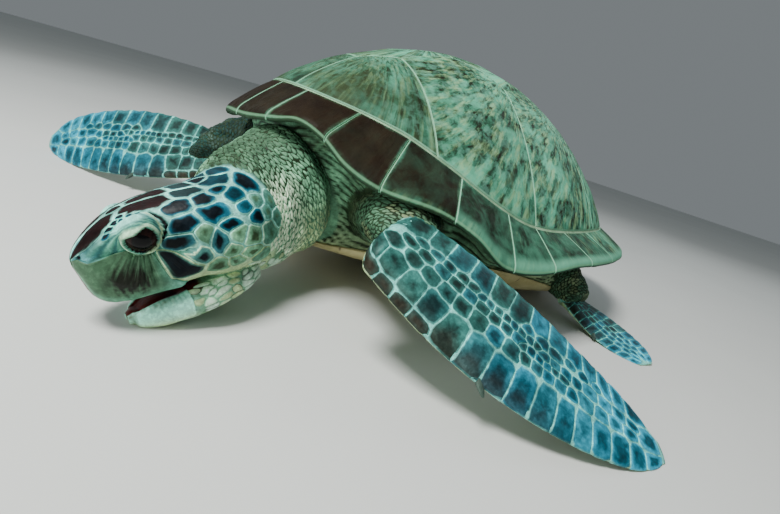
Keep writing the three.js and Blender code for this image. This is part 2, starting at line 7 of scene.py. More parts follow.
import bpy
import numpy as np
from mathutils import Matrix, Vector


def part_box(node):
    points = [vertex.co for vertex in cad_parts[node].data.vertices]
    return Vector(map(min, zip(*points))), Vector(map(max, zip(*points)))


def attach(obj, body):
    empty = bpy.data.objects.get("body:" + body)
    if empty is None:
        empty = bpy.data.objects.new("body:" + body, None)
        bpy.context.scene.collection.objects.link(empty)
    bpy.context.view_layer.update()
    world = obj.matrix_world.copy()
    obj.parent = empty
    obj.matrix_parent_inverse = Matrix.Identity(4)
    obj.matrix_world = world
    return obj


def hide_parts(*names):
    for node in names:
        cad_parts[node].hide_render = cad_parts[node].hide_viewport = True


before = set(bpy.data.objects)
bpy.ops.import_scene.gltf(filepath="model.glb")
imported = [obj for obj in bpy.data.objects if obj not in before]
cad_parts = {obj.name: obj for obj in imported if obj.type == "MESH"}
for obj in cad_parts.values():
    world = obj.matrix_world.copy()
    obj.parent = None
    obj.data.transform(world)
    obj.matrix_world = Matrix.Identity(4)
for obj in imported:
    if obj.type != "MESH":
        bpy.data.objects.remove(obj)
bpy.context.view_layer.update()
rng = np.random.default_rng(11)

# %% [markdown]
# ## The turtle's own frame
# The body leans a little to one side and its head end is raised, so its shapes are easier to
# write in a frame of their own: x to the turtle's left, y backwards, z up, in millimetres.
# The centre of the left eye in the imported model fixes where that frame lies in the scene.

# %% Frames
ROLL, PITCH = np.radians(6.3), np.radians(3.9)


def unit(vectors):
    """Each vector divided by its own length."""
    vectors = np.asarray(vectors, float)
    return vectors / np.maximum(np.linalg.norm(vectors, axis=-1, keepdims=True), 1e-9)


GROUND_UP = unit([np.sin(ROLL), -np.sin(PITCH), np.cos(ROLL) * np.cos(PITCH)])
EAST = unit(np.array([1.0, 0, 0]) - GROUND_UP * GROUND_UP[0])
TURN = np.array([EAST, np.cross(GROUND_UP, EAST), GROUND_UP])

SNOUT = np.array([276.0, -650.0, -14.0])
HEAD_YAW, HEAD_PITCH, HEAD_ROLL = np.radians([23.0, -20.0, 8.0])


def head_axes():
    """The head's left, back and up directions: yaw and pitch aim it, roll tips its left side up."""
    forward = np.array([np.sin(HEAD_YAW) * np.cos(HEAD_PITCH),
                        -np.cos(HEAD_YAW) * np.cos(HEAD_PITCH), np.sin(HEAD_PITCH)])
    level = np.array([np.cos(HEAD_YAW), np.sin(HEAD_YAW), 0.0])
    upright = -np.cross(level, forward)
    left = level * np.cos(HEAD_ROLL) + upright * np.sin(HEAD_ROLL)
    up = np.cross(forward, left)
    return np.array([left, -forward, up if up[2] > 0 else -up])


HEAD = head_axes()


def head_point(out, back, up):
    """A place given as millimetres left, behind and above the snout, in the turtle's frame."""
    return SNOUT + np.stack(np.broadcast_arrays(out, back, up), -1) @ HEAD


EYE_RADIUS = 22.0
EYE_PLACE = (34.0, 66.0, 18.0)
low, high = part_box("eye_left")
SHIFT = 500.0 * (np.array(low) + np.array(high)) - TURN @ head_point(*EYE_PLACE)


GROUND_SOFT, GROUND_CLEAR = 1.2, 0.3


def place(points):
    """Turtle's frame in millimetres to the scene in metres, pressed softly flat at the ground:
    height becomes s log(1 + e^(z / s)), which is z itself a few millimetres up."""
    world = points @ TURN.T + SHIFT
    height = (world[..., 2] - GROUND_CLEAR) / GROUND_SOFT
    world[..., 2] = GROUND_SOFT * np.logaddexp(0, height) + GROUND_CLEAR
    return world / 1000.0


print("shift", SHIFT.round(2))

# %% [markdown]
# ## Curves and grids
# Almost every piece is a grid of points: one direction runs along it and one runs round it. A
# closed tube, a pillow with two faces and a plate with rounded edges cover all of them, and
# each knows how to turn its faces outwards.

# %% Curves through knots
def hermite(knots, values, x, flat_ends=True):
    """Cubic through the knots. Its slope at a knot is that between the two neighbours."""
    knots, values = np.asarray(knots, float), np.asarray(values, float)
    wide = (slice(None),) + (None,) * (values.ndim - 1)
    slope = np.zeros_like(values)
    slope[1:-1] = (values[2:] - values[:-2]) / (knots[2:] - knots[:-2])[wide]
    if not flat_ends:
        slope[0] = (values[1] - values[0]) / (knots[1] - knots[0])
        slope[-1] = (values[-1] - values[-2]) / (knots[-1] - knots[-2])
    x = np.asarray(x, float)
    i = np.clip(np.searchsorted(knots, x, side="right") - 1, 0, len(knots) - 2)
    width = knots[i + 1] - knots[i]
    t = np.clip((x - knots[i]) / width, 0, 1)
    t, width = (part.reshape(part.shape + (1,) * (values.ndim - 1)) for part in (t, width))
    return ((2 * t**3 - 3 * t**2 + 1) * values[i] + (t**3 - 2 * t**2 + t) * width * slope[i]
            + (3 * t**2 - 2 * t**3) * values[i + 1] + (t**3 - t**2) * width * slope[i + 1])


def line_travel(points):
    """Distance travelled from a line's first point to each of its points."""
    return np.concatenate([[0], np.cumsum(np.linalg.norm(np.diff(points, axis=0), axis=1))])


def ease(low, high, x):
    """0 below low, 1 above high, and a smooth S between."""
    t = np.clip((np.asarray(x, float) - low) / (high - low), 0, 1)
    return t * t * (3 - 2 * t)


def fade(low, high, x):
    """1 below low, 0 above high."""
    return 1 - ease(low, high, x)


def bell(x, width, power=2):
    """1 at x = 0, falling to 1/e a width away; a higher power gives it a flatter top."""
    return np.exp(-(x / width)**power)


def full_turn(count):
    """Angles once round, in radians."""
    return np.linspace(0, 2 * np.pi, count, endpoint=False)


def compass(turns):
    """Unit directions in a plane at these angles."""
    return np.stack([np.cos(turns), np.sin(turns)], -1)


def ripple(points, size, seed, octaves=2):
    """Smooth noise about 0: a sum of sine waves in random directions, each octave twice as fine."""
    source = np.random.default_rng(seed)
    total = np.zeros(points.shape[:-1])
    for octave in range(octaves):
        for _ in range(7):
            wave = unit(source.normal(size=3)) * 2 * np.pi * 2**octave / size
            total += np.sin(points @ wave + source.uniform(0, 2 * np.pi)) / (2.6 * 2**octave)
    return total


def rounded(angle, squareness):
    """Cosine and sine whose powers below 1 square up the circle they draw."""
    c, s = np.cos(angle), np.sin(angle)
    return np.sign(c) * abs(c) ** squareness, np.sign(s) * abs(s) ** squareness


def outer_normals(grid, middle=None, wrap=True):
    """Unit normals, the cross product of a grid's two central differences, all turned outwards:
    away from a middle, or else from the centre of each ring."""
    across = (np.roll(grid, -1, 1) - np.roll(grid, 1, 1)) / 2 if wrap else np.gradient(grid, axis=1)
    up = unit(np.cross(np.gradient(grid, axis=0), across))
    middle = grid.mean(1, keepdims=True) if middle is None else middle
    return up * np.sign(((grid - middle) * up).sum())


def sample(grid, row, col):
    """A closed grid's value between its points: a cell's four corners, mixed by distance."""
    rows, cols = grid.shape[:2]
    row = np.clip(row, 0, rows - 1.001)
    i, s = np.floor(row).astype(int), (row - np.floor(row))[..., None]
    j, t = np.floor(col).astype(int), (col - np.floor(col))[..., None]
    j, k = j % cols, (j + 1) % cols
    return ((1 - s) * ((1 - t) * grid[i, j] + t * grid[i, k])
            + s * ((1 - t) * grid[i + 1, j] + t * grid[i + 1, k]))


def on_skin(grid, up, row, col):
    """A grid's place and unit normal between its points."""
    return sample(grid, row, col), unit(sample(up, row, col))


# %% Closed shapes from grids
def lattice(rows, cols, wrap):
    """The quads of a grid, each as four point numbers."""
    j = np.arange(cols if wrap else cols - 1)
    a = np.arange(rows - 1)[:, None] * cols + j
    b = np.arange(rows - 1)[:, None] * cols + (j + 1) % cols
    return np.stack([a, b, b + cols, a + cols], -1).reshape(-1, 4)


def outward(points, quads, tris, fields):
    """A closed shape, its faces reversed if its volume comes out negative."""
    fan = np.concatenate([quads[:, [0, 1, 2]], quads[:, [0, 2, 3]], tris])
    a, b, c = (points[fan[:, k]] for k in range(3))
    if np.einsum("ij,ij->", a, np.cross(b, c)) < 0:
        quads, tris = quads[:, ::-1], tris[:, ::-1]
    return {"points": points, "quads": quads, "tris": tris, "fields": fields}


def tube(grid, fields=None, start=None, end=None):
    """Rings along a path, closed by a fan to one point at each end."""
    rows, cols = grid.shape[:2]
    ends = [grid[0].mean(0) if start is None else start, grid[-1].mean(0) if end is None else end]
    first = np.arange(cols)
    after = (first + 1) % cols
    last, base = (rows - 1) * cols, rows * cols
    tris = np.concatenate([np.stack([base + 0 * first, after, first], -1),
                           np.stack([base + 1 + 0 * first, first + last, after + last], -1)])
    flat = {}
    for name, field in (fields or {}).items():
        caps = np.stack([field[0].mean(0), field[-1].mean(0)])
        flat[name] = np.concatenate([field.reshape((-1,) + field.shape[2:]), caps])
    points = np.concatenate([grid.reshape(-1, 3), np.array(ends)])
    return outward(points, lattice(rows, cols, True), tris, flat)


def pillow(outer, inner, fields=None):
    """Two grids face to face, joined round their border."""
    rows, cols = outer.shape[:2]
    count = rows * cols
    number = np.arange(count).reshape(rows, cols)
    loop = np.concatenate([number[0, :-1], number[:-1, -1], number[-1, :0:-1], number[:0:-1, 0]])
    after = np.roll(loop, -1)
    face = lattice(rows, cols, False)
    side = np.stack([after, loop, loop + count, after + count], -1)
    quads = np.concatenate([face, face[:, ::-1] + count, side])
    flat = {name: np.concatenate([field.reshape((-1,) + field.shape[2:])] * 2)
            for name, field in (fields or {}).items()}
    points = np.concatenate([outer.reshape(-1, 3), inner.reshape(-1, 3)])
    return outward(points, quads, np.zeros((0, 3), int), flat)


def joined(shapes):
    """Several shapes as one, the point numbers of each moved past those before."""
    offset, quads, tris = 0, [], []
    for shape in shapes:
        quads.append(shape["quads"] + offset)
        tris.append(shape["tris"] + offset)
        offset += len(shape["points"])
    fields = {name: np.concatenate([shape["fields"][name] for shape in shapes])
              for name in shapes[0]["fields"]}
    return {"points": np.concatenate([shape["points"] for shape in shapes]),
            "quads": np.concatenate(quads), "tris": np.concatenate(tris), "fields": fields}


def make_mesh(name, shape):
    """A Blender mesh from a shape: points, faces, and each field as a point attribute."""
    mesh = bpy.data.meshes.new(name)
    quads, tris = shape["quads"], shape["tris"]
    corners = np.concatenate([quads.ravel(), tris.ravel()])
    starts = np.concatenate([4 * np.arange(len(quads)), quads.size + 3 * np.arange(len(tris))])
    mesh.vertices.add(len(shape["points"]))
    mesh.vertices.foreach_set("co", place(shape["points"]).astype(np.float32).ravel())
    mesh.loops.add(len(corners))
    mesh.loops.foreach_set("vertex_index", corners.astype(np.int32))
    mesh.polygons.add(len(starts))
    mesh.polygons.foreach_set("loop_start", starts.astype(np.int32))
    mesh.update(calc_edges=True)
    for field_name, field in shape["fields"].items():
        if field_name == "OFBake":
            layer = mesh.uv_layers.new(name=field_name)
            layer.data.foreach_set("uv", field[corners].astype(np.float32).ravel())
        elif field.ndim == 1:
            layer = mesh.attributes.new(field_name, "FLOAT", "POINT")
            layer.data.foreach_set("value", field.astype(np.float32))
        elif field.shape[1] == 3:
            layer = mesh.attributes.new(field_name, "FLOAT_COLOR", "POINT")
            full = np.concatenate([field, np.ones((len(field), 1))], 1)
            layer.data.foreach_set("color", full.astype(np.float32).ravel())
    mesh.shade_smooth()
    return mesh


def put(name, data):
    """A new object in the scene."""
    made = bpy.data.objects.new(name, data)
    bpy.context.scene.collection.objects.link(made)
    return made


def piece(name, mesh, material, nodes=()):
    """A finished piece of the turtle: it rides on the one body and stands for its CAD nodes."""
    mesh = make_mesh(name, mesh) if isinstance(mesh, dict) else mesh
    made = put(name, mesh)
    mesh.materials.append(material)
    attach(made, "root")
    if nodes:
        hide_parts(*nodes)
    print(name, "triangles", len(mesh.loops) - 2 * len(mesh.polygons))

# %% [markdown]
# ## The shell's form
# A carapace is a dome of bone under thin plates of horn, ringed by a belt of marginal scutes
# that turns under at the rim. Its outline, rim height and belt width are curves over one
# angle, so a scute is only a stretch of that surface, and every seam falls where the frame's
# scutes meet.

# %% Outline, rim and dome
SHELL_FRONT, SHELL_REAR, SHELL_WIDE, FRONT_BIAS = 500.0, 520.0, 340.0, 0.18
SHELL_HIGH, DOME_Y, DOME_FULLNESS, DOME_EDGE = 430.0, -35.0, 1.97, 0.88
BELT_EDGE, STEEPEST = 0.89, 2.2
DOME_CENTRE = np.array([0, DOME_Y])
RIM_ANGLES = [0, 15, 25, 31, 37, 43, 50, 62, 70, 78, 88, 100, 130, 155, 180]
RIM_HEIGHTS = [200, 197, 203, 209, 196, 168, 151, 144, 124, 90, 92, 116, 142, 158, 172]
BELT_WIDTHS = [66, 62, 60, 62, 66, 70, 73, 71, 69, 67, 67, 68, 73, 86, 104]
BELT_RISES = [66, 63, 50, 39, 47, 69, 77, 59, 60, 78, 62, 38, 38, 38, 40]
NUCHAL_HALF = 69.0
MARGINALS = [87, 107, 92, 114, 128, 98, 119, 117, 111, 109, 103, 80]
VERTEBRAL_SEAMS = np.array([[73, -327], [84, -150], [74, 62], [56, 255]], float)
VERTEBRAL_CORNERS = np.array([[111, -263], [124, -45], [108, 158]], float)
COSTAL_FEET = [0.5, 3.5, 6, 8.5, 10.5]


def outline(angle):
    """An egg: the width swells towards the front, the rear half is a little longer."""
    c = np.cos(angle)
    half = np.where(c > 0, SHELL_FRONT, SHELL_REAR)
    return np.stack([SHELL_WIDE * np.sin(angle) * (1 + FRONT_BIAS * c), -half * c], -1)


def section(angle):
    """Outline, reach from the dome's centre, rim height, and the belt's rise and width."""
    edge = outline(angle)
    reach = np.hypot(edge[..., 0], edge[..., 1] - DOME_Y)
    turn = np.degrees(abs(angle))
    rim, belt, rise = (hermite(RIM_ANGLES, row, turn) for row in (RIM_HEIGHTS, BELT_WIDTHS, BELT_RISES))
    return edge, reach, rim, rise, belt


def along_rim():
    """Angle against distance travelled round the left half of the outline."""
    angle = np.linspace(0, np.pi, 1441)
    return angle, line_travel(outline(angle))


RIM_ANGLE, RIM_TRAVEL = along_rim()
drawn = np.cumsum([NUCHAL_HALF] + MARGINALS)
SEAMS = np.interp(drawn / drawn[-1] * RIM_TRAVEL[-1], RIM_TRAVEL, RIM_ANGLE)


def angle_at(count):
    """The angle at a place counted in marginals from the nuchal's edge."""
    return np.interp(count, np.arange(len(SEAMS)), SEAMS)


TABLE_ANGLE = np.linspace(-np.pi, np.pi, 4001)
TABLE_EDGE = outline(TABLE_ANGLE)
TABLE_TURN = np.arctan2(TABLE_EDGE[:, 0], -(TABLE_EDGE[:, 1] - DOME_Y))
TABLE_TURN[0] = -np.pi


def rim_angle(x, y):
    """The outline's angle in the direction of a place seen from the dome's centre."""
    return np.interp(np.arctan2(x, -(y - DOME_Y)), TABLE_TURN, TABLE_ANGLE)


def plan_at(edge, share):
    """The outline drawn in towards the dome's centre to a share of its reach."""
    return DOME_CENTRE + (edge - DOME_CENTRE) * share[..., None]


def shell_height(x, y):
    """Dome inside the belt, z = foot + (top - foot)(1 - t^p)^q, and the belt's slope outside it."""
    _, reach, rim, rise, belt = section(rim_angle(x, y))
    share = np.hypot(x, y - DOME_Y) / reach
    inner = 1 - belt / reach
    t = np.clip(share / inner, 0, 1)
    dome = rim + rise + (SHELL_HIGH - rim - rise) * (1 - t**DOME_FULLNESS)**DOME_EDGE
    w = np.clip((share - inner) / (1 - inner), 0, 1)
    return np.where(share < inner, dome, rim + rise * (1 - w)**BELT_EDGE)


def shell_surface(xy):
    """Points and unit normals of the shell's top over a plan."""
    x, y = xy[..., 0], xy[..., 1]
    z = shell_height(x, y)
    step = 1.5
    slope_x = (shell_height(x + step, y) - shell_height(x - step, y)) / (2 * step)
    slope_y = (shell_height(x, y + step) - shell_height(x, y - step)) / (2 * step)
    slope = np.stack([slope_x, slope_y], -1)
    slope /= np.maximum(1, np.linalg.norm(slope, axis=-1, keepdims=True) / STEEPEST)
    normal = unit(np.concatenate([-slope, np.ones(x.shape + (1,))], -1))
    return np.concatenate([xy, z[..., None]], -1), normal


def belt_profile(angle, w):
    """The belt's outer surface: from the dome's foot (w 0) over the rim (about 1) and under (2)."""
    edge, reach, rim, rise, belt = section(angle)
    knots = [0, 0.25, 0.5, 0.75, 0.93, 1.02, 1.12, 1.4, 1.7, 2.0]
    of_belt = np.array([1, 0.75, 0.5, 0.25, 0.055, 0, 0, 0.33, 0.68, 1])
    of_rise = np.array([1, 0.774, 0.54, 0.291, 0.07, 0, 0, 0.1, 0.2, 0.3])
    fixed_in = np.array([0, 0, 0, 0, 0, 0, 2.5, 0, 0, 0])
    fixed_up = np.array([0, 0, 0, 0, 0, -5, -10, -9, -4, 0])
    mix = hermite(knots, np.eye(10), w, flat_ends=False)
    inward = belt * (mix @ of_belt) + mix @ fixed_in + 0.02 * reach * mix[..., 9]
    height = rise * (mix @ of_rise) + mix @ fixed_up
    return np.concatenate([plan_at(edge, 1 - inward / reach), (rim + height)[..., None]], -1)


print("seams at", np.degrees(SEAMS).round(1))

# %% [markdown]
# ## Scutes
# Each scute is its own plate of horn, a few millimetres thick, with rounded edges and a gap
# of under two millimetres to its neighbours, through which the pale bone shows as the seam. A
# dome scute is drawn as rays from its middle to its plan's border; a marginal wraps the rim.

# %% Relief shared by all scutes
SEAM_HALF = 0.7
HORN = 4.5
EDGE_ROUND = 1.6
BONE_UNDER = 2.4
RIM_COLS, RIM_ROWS = 34, 60
RAY_SHARES = np.array([0.05, 0.12, 0.2, 0.3, 0.4, 0.5, 0.59, 0.67, 0.74, 0.8, 0.85, 0.89, 0.925,
                       0.95, 0.968, 0.982, 0.992, 1])


def edge_drop(distance, radius):
    """How far a rounded edge of this radius falls below its face, by distance from the border."""
    short = np.clip(1 - distance / radius, 0, 1)
    return radius * (1 - np.sqrt(1 - short**2))


def growth_relief(distance, points):
    """Faint growth rings that follow the border, fading inwards, over slow lumps."""
    rings = 0.16 * np.sin(2 * np.pi * distance / 9.0) * np.exp(-distance / 40)
    return rings + 0.55 * ripple(points, 95, 3) * np.minimum(1, distance / 15)


def growth_field(points, middle):
    """The direction out of the scute's oldest point and the distance from it, for its streaks."""
    away = points - middle
    far = np.linalg.norm(away, axis=-1, keepdims=True)
    return away / np.maximum(far, 1e-6) * 0.5 + 0.5, far[..., 0] / 300


# %% A dome scute from its plan
def dome_scute(plan, oldest):
    """Rays from the middle to the border; the horn sits on the dome, rounded at its edge."""
    after = np.roll(plan, -1, 0)
    cross = plan[:, 0] * after[:, 1] - after[:, 0] * plan[:, 1]
    middle = ((plan + after) * cross[:, None]).sum(0) / (3 * cross.sum())
    turned = np.arctan2(*(plan - middle).T[::-1])
    turns = np.unique(np.concatenate([np.linspace(-np.pi, np.pi, 120, endpoint=False), turned]))
    ray = compass(turns)
    side = after - plan
    normal = unit(np.stack([side[:, 1], -side[:, 0]], -1)) * np.sign(cross.sum())
    facing = ray @ normal.T
    depth = ((plan - middle) * normal).sum(1)
    hit = np.where(facing > 1e-3, depth / np.maximum(facing, 1e-3), np.inf)
    at = middle + ray[:, None] * np.where(np.isfinite(hit), hit, 0)[..., None]
    run = ((at - plan) * side).sum(-1) / (side**2).sum(1)
    hit = np.where((run > -1e-3) & (run < 1.001), hit, np.inf)
    nearest = hit.argmin(1)
    slant = np.take_along_axis(facing, nearest[:, None], 1)[:, 0]
    border = hit.min(1) - SEAM_HALF / np.maximum(slant, 0.35)
    xy = middle + ray * (border[:, None] * RAY_SHARES[:, None, None])
    distance = ((depth[None] - (xy - middle) @ normal.T) - SEAM_HALF).min(-1)
    distance = np.maximum(distance, 0)
    base, up = shell_surface(xy)
    face = base + up * (growth_relief(distance, base) - edge_drop(distance, EDGE_ROUND))[..., None]
    wall = base[-1] - up[-1] * HORN
    direction, far = growth_field(np.concatenate([base, wall[None]]), oldest)
    fields = {"growth": direction, "far": far,
              "edge": np.concatenate([distance, distance[-1:]]), "across": far * 0}
    centre, centre_up = shell_surface(middle)
    return tube(np.concatenate([face, wall[None]]), fields, start=centre, end=centre - centre_up * HORN)


# %% Plans of the dome scutes
def belt_line(start, end, count=24):
    """The foot of the dome between two places counted in marginals."""
    return belt_profile(angle_at(np.linspace(start, end, count)), np.zeros(count))[:, :2]


def costal_plan(index):
    """Along the dome's foot, then back by the corners of the vertebral scutes."""
    foot = belt_line(COSTAL_FEET[index], COSTAL_FEET[index + 1])
    back = [VERTEBRAL_CORNERS[index], VERTEBRAL_SEAMS[index]] if index < 3 else [VERTEBRAL_SEAMS[3]]
    front = [VERTEBRAL_CORNERS[index - 1]] if index else []
    return np.concatenate([foot, back + front])


def vertebral_plan(index):
    """Six-sided, but the first and the last end along the dome's foot."""
    if index == 0:
        angles = np.linspace(0, angle_at(COSTAL_FEET[0]), 14)
        left = np.concatenate([belt_profile(angles, 0 * angles)[:, :2], VERTEBRAL_SEAMS[:1]])
    elif index < 4:
        left = np.array([VERTEBRAL_SEAMS[index - 1], VERTEBRAL_CORNERS[index - 1], VERTEBRAL_SEAMS[index]])
    else:
        left = np.concatenate([VERTEBRAL_SEAMS[3:], belt_line(COSTAL_FEET[4], 12)])
    right = left[::-1] * [-1, 1]
    ring = np.concatenate([left, right])
    return ring[np.linalg.norm(ring - np.roll(ring, -1, 0), axis=1) > 0.05]


# %% A marginal from its two seams
def travelled(grid, axis):
    """Distance travelled over a grid along one of its directions."""
    first = np.take(grid, [0], axis)
    return np.linalg.norm(np.diff(grid, axis=axis, prepend=first), axis=2).cumsum(axis)


def marginal_scute(start, end):
    """A grid along the rim and across the belt, offset outwards and inwards by the horn's face."""
    speed = np.linalg.norm(outline(start + 1e-3) - outline(start)) / 1e-3
    angle = np.linspace(start + SEAM_HALF / speed, end - SEAM_HALF / speed, 200)
    ease_in = np.linspace(-1, 1, RIM_COLS)
    angle = np.interp(np.sin(ease_in * np.pi / 2), np.linspace(-1, 1, 200), angle)
    w = np.interp(np.linspace(0, 1, RIM_ROWS), [0, 0.06, 0.62, 0.94, 1], [0.02, 0.07, 1.12, 1.9, 1.98])
    w = w[None] * np.ones((RIM_COLS, 1))
    grid = belt_profile(angle[:, None], w)
    along, across = travelled(grid, 0), travelled(grid, 1)
    distance = np.minimum.reduce([along, along[-1] - along, across, across[:, -1:] - across])
    up = outer_normals(grid, grid.mean((0, 1)), wrap=False)
    outer = grid + up * (growth_relief(distance, grid) - edge_drop(distance, EDGE_ROUND))[..., None]
    middle = grid[RIM_COLS // 2]
    oldest = middle[2] * 2.2 - middle[RIM_ROWS // 2] * 1.2
    direction, far = growth_field(grid, oldest)
    fields = {"growth": direction, "far": far, "edge": distance, "across": w}
    return pillow(outer, grid - up * HORN, fields)


def mirrored(shape):
    """The same shape on the other side, its faces reversed so that they still point outwards."""
    flipped = dict(shape, points=shape["points"] * [-1, 1, 1])
    flipped["quads"], flipped["tris"] = shape["quads"][:, ::-1], shape["tris"][:, ::-1]
    return flipped


# %% The bone under the horn
def bone_shape():
    """Rings from the dome's top out over the rim, back under the belt and up inside the bowl."""
    angle = np.linspace(-np.pi, np.pi, 240, endpoint=False)
    edge, reach, _, _, belt = section(angle)

    def on_dome(share):
        """The dome's surface and normal at a share of the way out to its foot."""
        return shell_surface(plan_at(edge, share * (1 - belt / reach)))

    dome = [top - up * BONE_UNDER for top, up in map(on_dome, np.linspace(0.04, 0.985, 22))]
    belt_rings = np.array([belt_profile(angle, w * np.ones(240)) for w in np.linspace(0.03, 1.96, 30)])
    belt_rings -= outer_normals(belt_rings, [0, DOME_Y, 200]) * BONE_UNDER
    inside = ((0.9, 20), (0.68, 14), (0.45, 14), (0.2, 14))
    hidden = [on_dome(share)[0] - [0, 0, down] for share, down in inside]
    grid = np.concatenate([dome, belt_rings, hidden])
    return tube(grid, {"edge": np.full(grid.shape[:2], 9.0)})


# %% The plastron
PLASTRON_LONG, PLASTRON_WIDE, PLASTRON_Y, PLASTRON_THICK, BRIDGE_RISE = 372.0, 222.0, -18.0, 16.0, 46.0
PLASTRON_SEAMS = np.array([-300.0, -205.0, -75.0, 75.0, 195.0, 290.0])


def plastron_plan(angle, share):
    """A squared oval whose bridge turns up at the sides as sin^4 of the angle."""
    s = np.sin(angle)
    x = PLASTRON_WIDE * np.sign(s) * abs(s)**0.8 * share
    y = PLASTRON_Y - PLASTRON_LONG * np.cos(angle) * share
    turn = np.maximum(share - 0.66, 0) / 0.34
    return np.stack([x, y, (12 + (BRIDGE_RISE - 12) * s**4) * turn**2], -1)


def plastron_shape():
    """Underside rings outwards, a rounded rim, and top rings back in, with seams cut as grooves."""
    angle = full_turn(200)
    shares = np.concatenate([np.linspace(0.03, 0.97, 50), [0.985, 0.995, 1.0]])
    under = plastron_plan(angle[None], shares[:, None])
    bow = 6 * np.sin(abs(under[..., 0]) / 60)
    across = abs(under[..., 1:2] - bow[..., None] - PLASTRON_SEAMS).min(-1)
    seam = np.minimum(abs(under[..., 0]), across)
    seam = np.minimum(seam, abs(abs(under[..., 0]) - 138 - 10 * np.cos(under[..., 1] / 90)))
    under[..., 2] += 1.6 * bell(seam, 1.8) * (shares[:, None] < 0.96)
    under[-3:, :, 2] += np.array([1.0, 3.0, 6.0])[:, None]
    inwards = shares[::-1][:, None]
    top = plastron_plan(angle[None], inwards)
    top[..., 2] += np.minimum(PLASTRON_THICK, 7 + 900 * (1 - inwards))
    grid = np.concatenate([under, top[::4]])
    edge = np.concatenate([seam, seam[::-1][::4]])
    direction, far = growth_field(grid, np.array([90.0, 0.0, 0.0]))
    return tube(grid, {"edge": edge, "growth": direction, "far": far, "across": edge * 0})

# %% [markdown]
# ## Head and neck
# The head and neck are one loft, so the cheek runs into the neck without a join. Its rings and
# its columns crowd together round the eyes, where the lids need a millimetre of detail, and
# stand further apart elsewhere. Folds, lids, nostrils and palate are then pushed into it.

# %% Sections of the head
COAT = 1.2
HEAD_BACK = [0, 3, 10, 25, 45, 68, 94, 123, 150, 178, 200]
HEAD_SIZES = np.array([[3, -1, -10], [10, 5, -20], [20, 14, -48], [33, 27, -61], [45, 39, -60], [55, 47, -59],
                       [62, 52, -60], [68, 55, -60], [70, 53, -65], [66, 48, -72], [55, 40, -74]], float)
HEAD_END = 166.0
NECK_STOPS = np.array([[164, -464, 52], [104, -394, 94], [60, -290, 126], [44, -210, 128]], float)
NECK_SIZES = np.array([[78, 95], [94, 102], [108, 90], [104, 86]], float)


def head_size(back):
    """Half width, top and bottom of the head at a distance behind the snout."""
    return hermite(HEAD_BACK, HEAD_SIZES, back)


def spread(stops, steps):
    """Numbers that run through the stops, each stretch cut into its own step."""
    parts = [np.arange(a, b, step) for a, b, step in zip(stops[:-1], stops[1:], steps)]
    return np.concatenate(parts + [[stops[-1]]])


HEAD_ROWS = spread([0.5, 8, 32, 100, HEAD_END], [0.8, 1.7, 1.15, 2.2])
NECK_ROWS = spread([HEAD_END + 3, 420], [3.0])
BACK = np.concatenate([HEAD_ROWS, NECK_ROWS])
HALF_TURN = spread([0, 24, 112, 180], [2.4, 1.15, 3.0])
TURN_DEG = np.concatenate([HALF_TURN, 360 - HALF_TURN[-2:0:-1]])


def neck_rings(travel):
    """Centre, left, up, half width and half height of the neck, by distance from the snout."""
    start = np.array([head_point(0, back, head_size(back)[1:].mean()) for back in (130.0, HEAD_END)])
    stops = np.concatenate([start, NECK_STOPS])
    far = line_travel(stops)
    far += HEAD_END - far[1]
    centre = hermite(far, stops, travel, flat_ends=False)
    along = unit(hermite(far, stops, travel + 1, flat_ends=False)
                 - hermite(far, stops, travel - 1, flat_ends=False))
    level = unit(np.cross(along, [0, 0, 1.0]))
    mix = ease(HEAD_END, far[3], travel)[:, None]
    left = unit(HEAD[0] * (1 - mix) + level * mix)
    left = unit(left - along * (left * along).sum(1, keepdims=True))
    half, top, bottom = head_size(HEAD_END)
    first = np.array([[half + 1, (top - bottom) / 2 + 1]])
    size = hermite(far[1:], np.concatenate([first, NECK_SIZES]), travel)
    return centre, left, np.cross(left, along), size


def head_and_neck():
    """Rounded-square rings down the head, easing to round ones down the neck."""
    turn = np.radians(TURN_DEG)
    lower = np.cos(turn) < 0
    sizes = head_size(HEAD_ROWS) + [-COAT, -COAT, COAT]
    middle, tall = (sizes[:, 1] + sizes[:, 2]) / 2, (sizes[:, 1] - sizes[:, 2]) / 2
    side, lift = (part[None] for part in rounded(np.pi / 2 - turn, np.where(lower, 0.7, 0.85)))
    head = head_point(sizes[:, :1] * side, HEAD_ROWS[:, None], middle[:, None] + tall[:, None] * lift)
    centre, left, up, size = neck_rings(NECK_ROWS)
    round_off = ease(HEAD_END, HEAD_END + 60, NECK_ROWS)
    rings = [rounded(np.pi / 2 - turn, np.where(lower, 0.7 + 0.3 * k, 0.85 + 0.15 * k)) for k in round_off]
    side, lift = (np.array([ring[k] for ring in rings])[..., None] for k in range(2))
    size = size - COAT
    neck = centre[:, None] + left[:, None] * size[:, :1, None] * side + up[:, None] * size[:, 1:, None] * lift
    return np.concatenate([head, neck])


HEAD_GRID = head_and_neck()
meeting = bell(BACK[1:-1] - HEAD_END - 4, 24, 4)[:, None, None]
for _ in range(150):
    HEAD_GRID[1:-1] += 0.5 * meeting * (HEAD_GRID[:-2] / 2 + HEAD_GRID[2:] / 2 - HEAD_GRID[1:-1])
BACK_MAP = BACK[:, None] * np.ones_like(TURN_DEG)
SIDE_DEG = np.minimum(TURN_DEG, 360 - TURN_DEG)
SIDE_MAP = np.ones((len(BACK), 1)) * SIDE_DEG
nape = 4.8 * bell(BACK_MAP - 160, 22) * fade(25, 80, SIDE_MAP)
HEAD_GRID += nape[..., None] * HEAD[2]
print("head and neck grid", HEAD_GRID.shape)

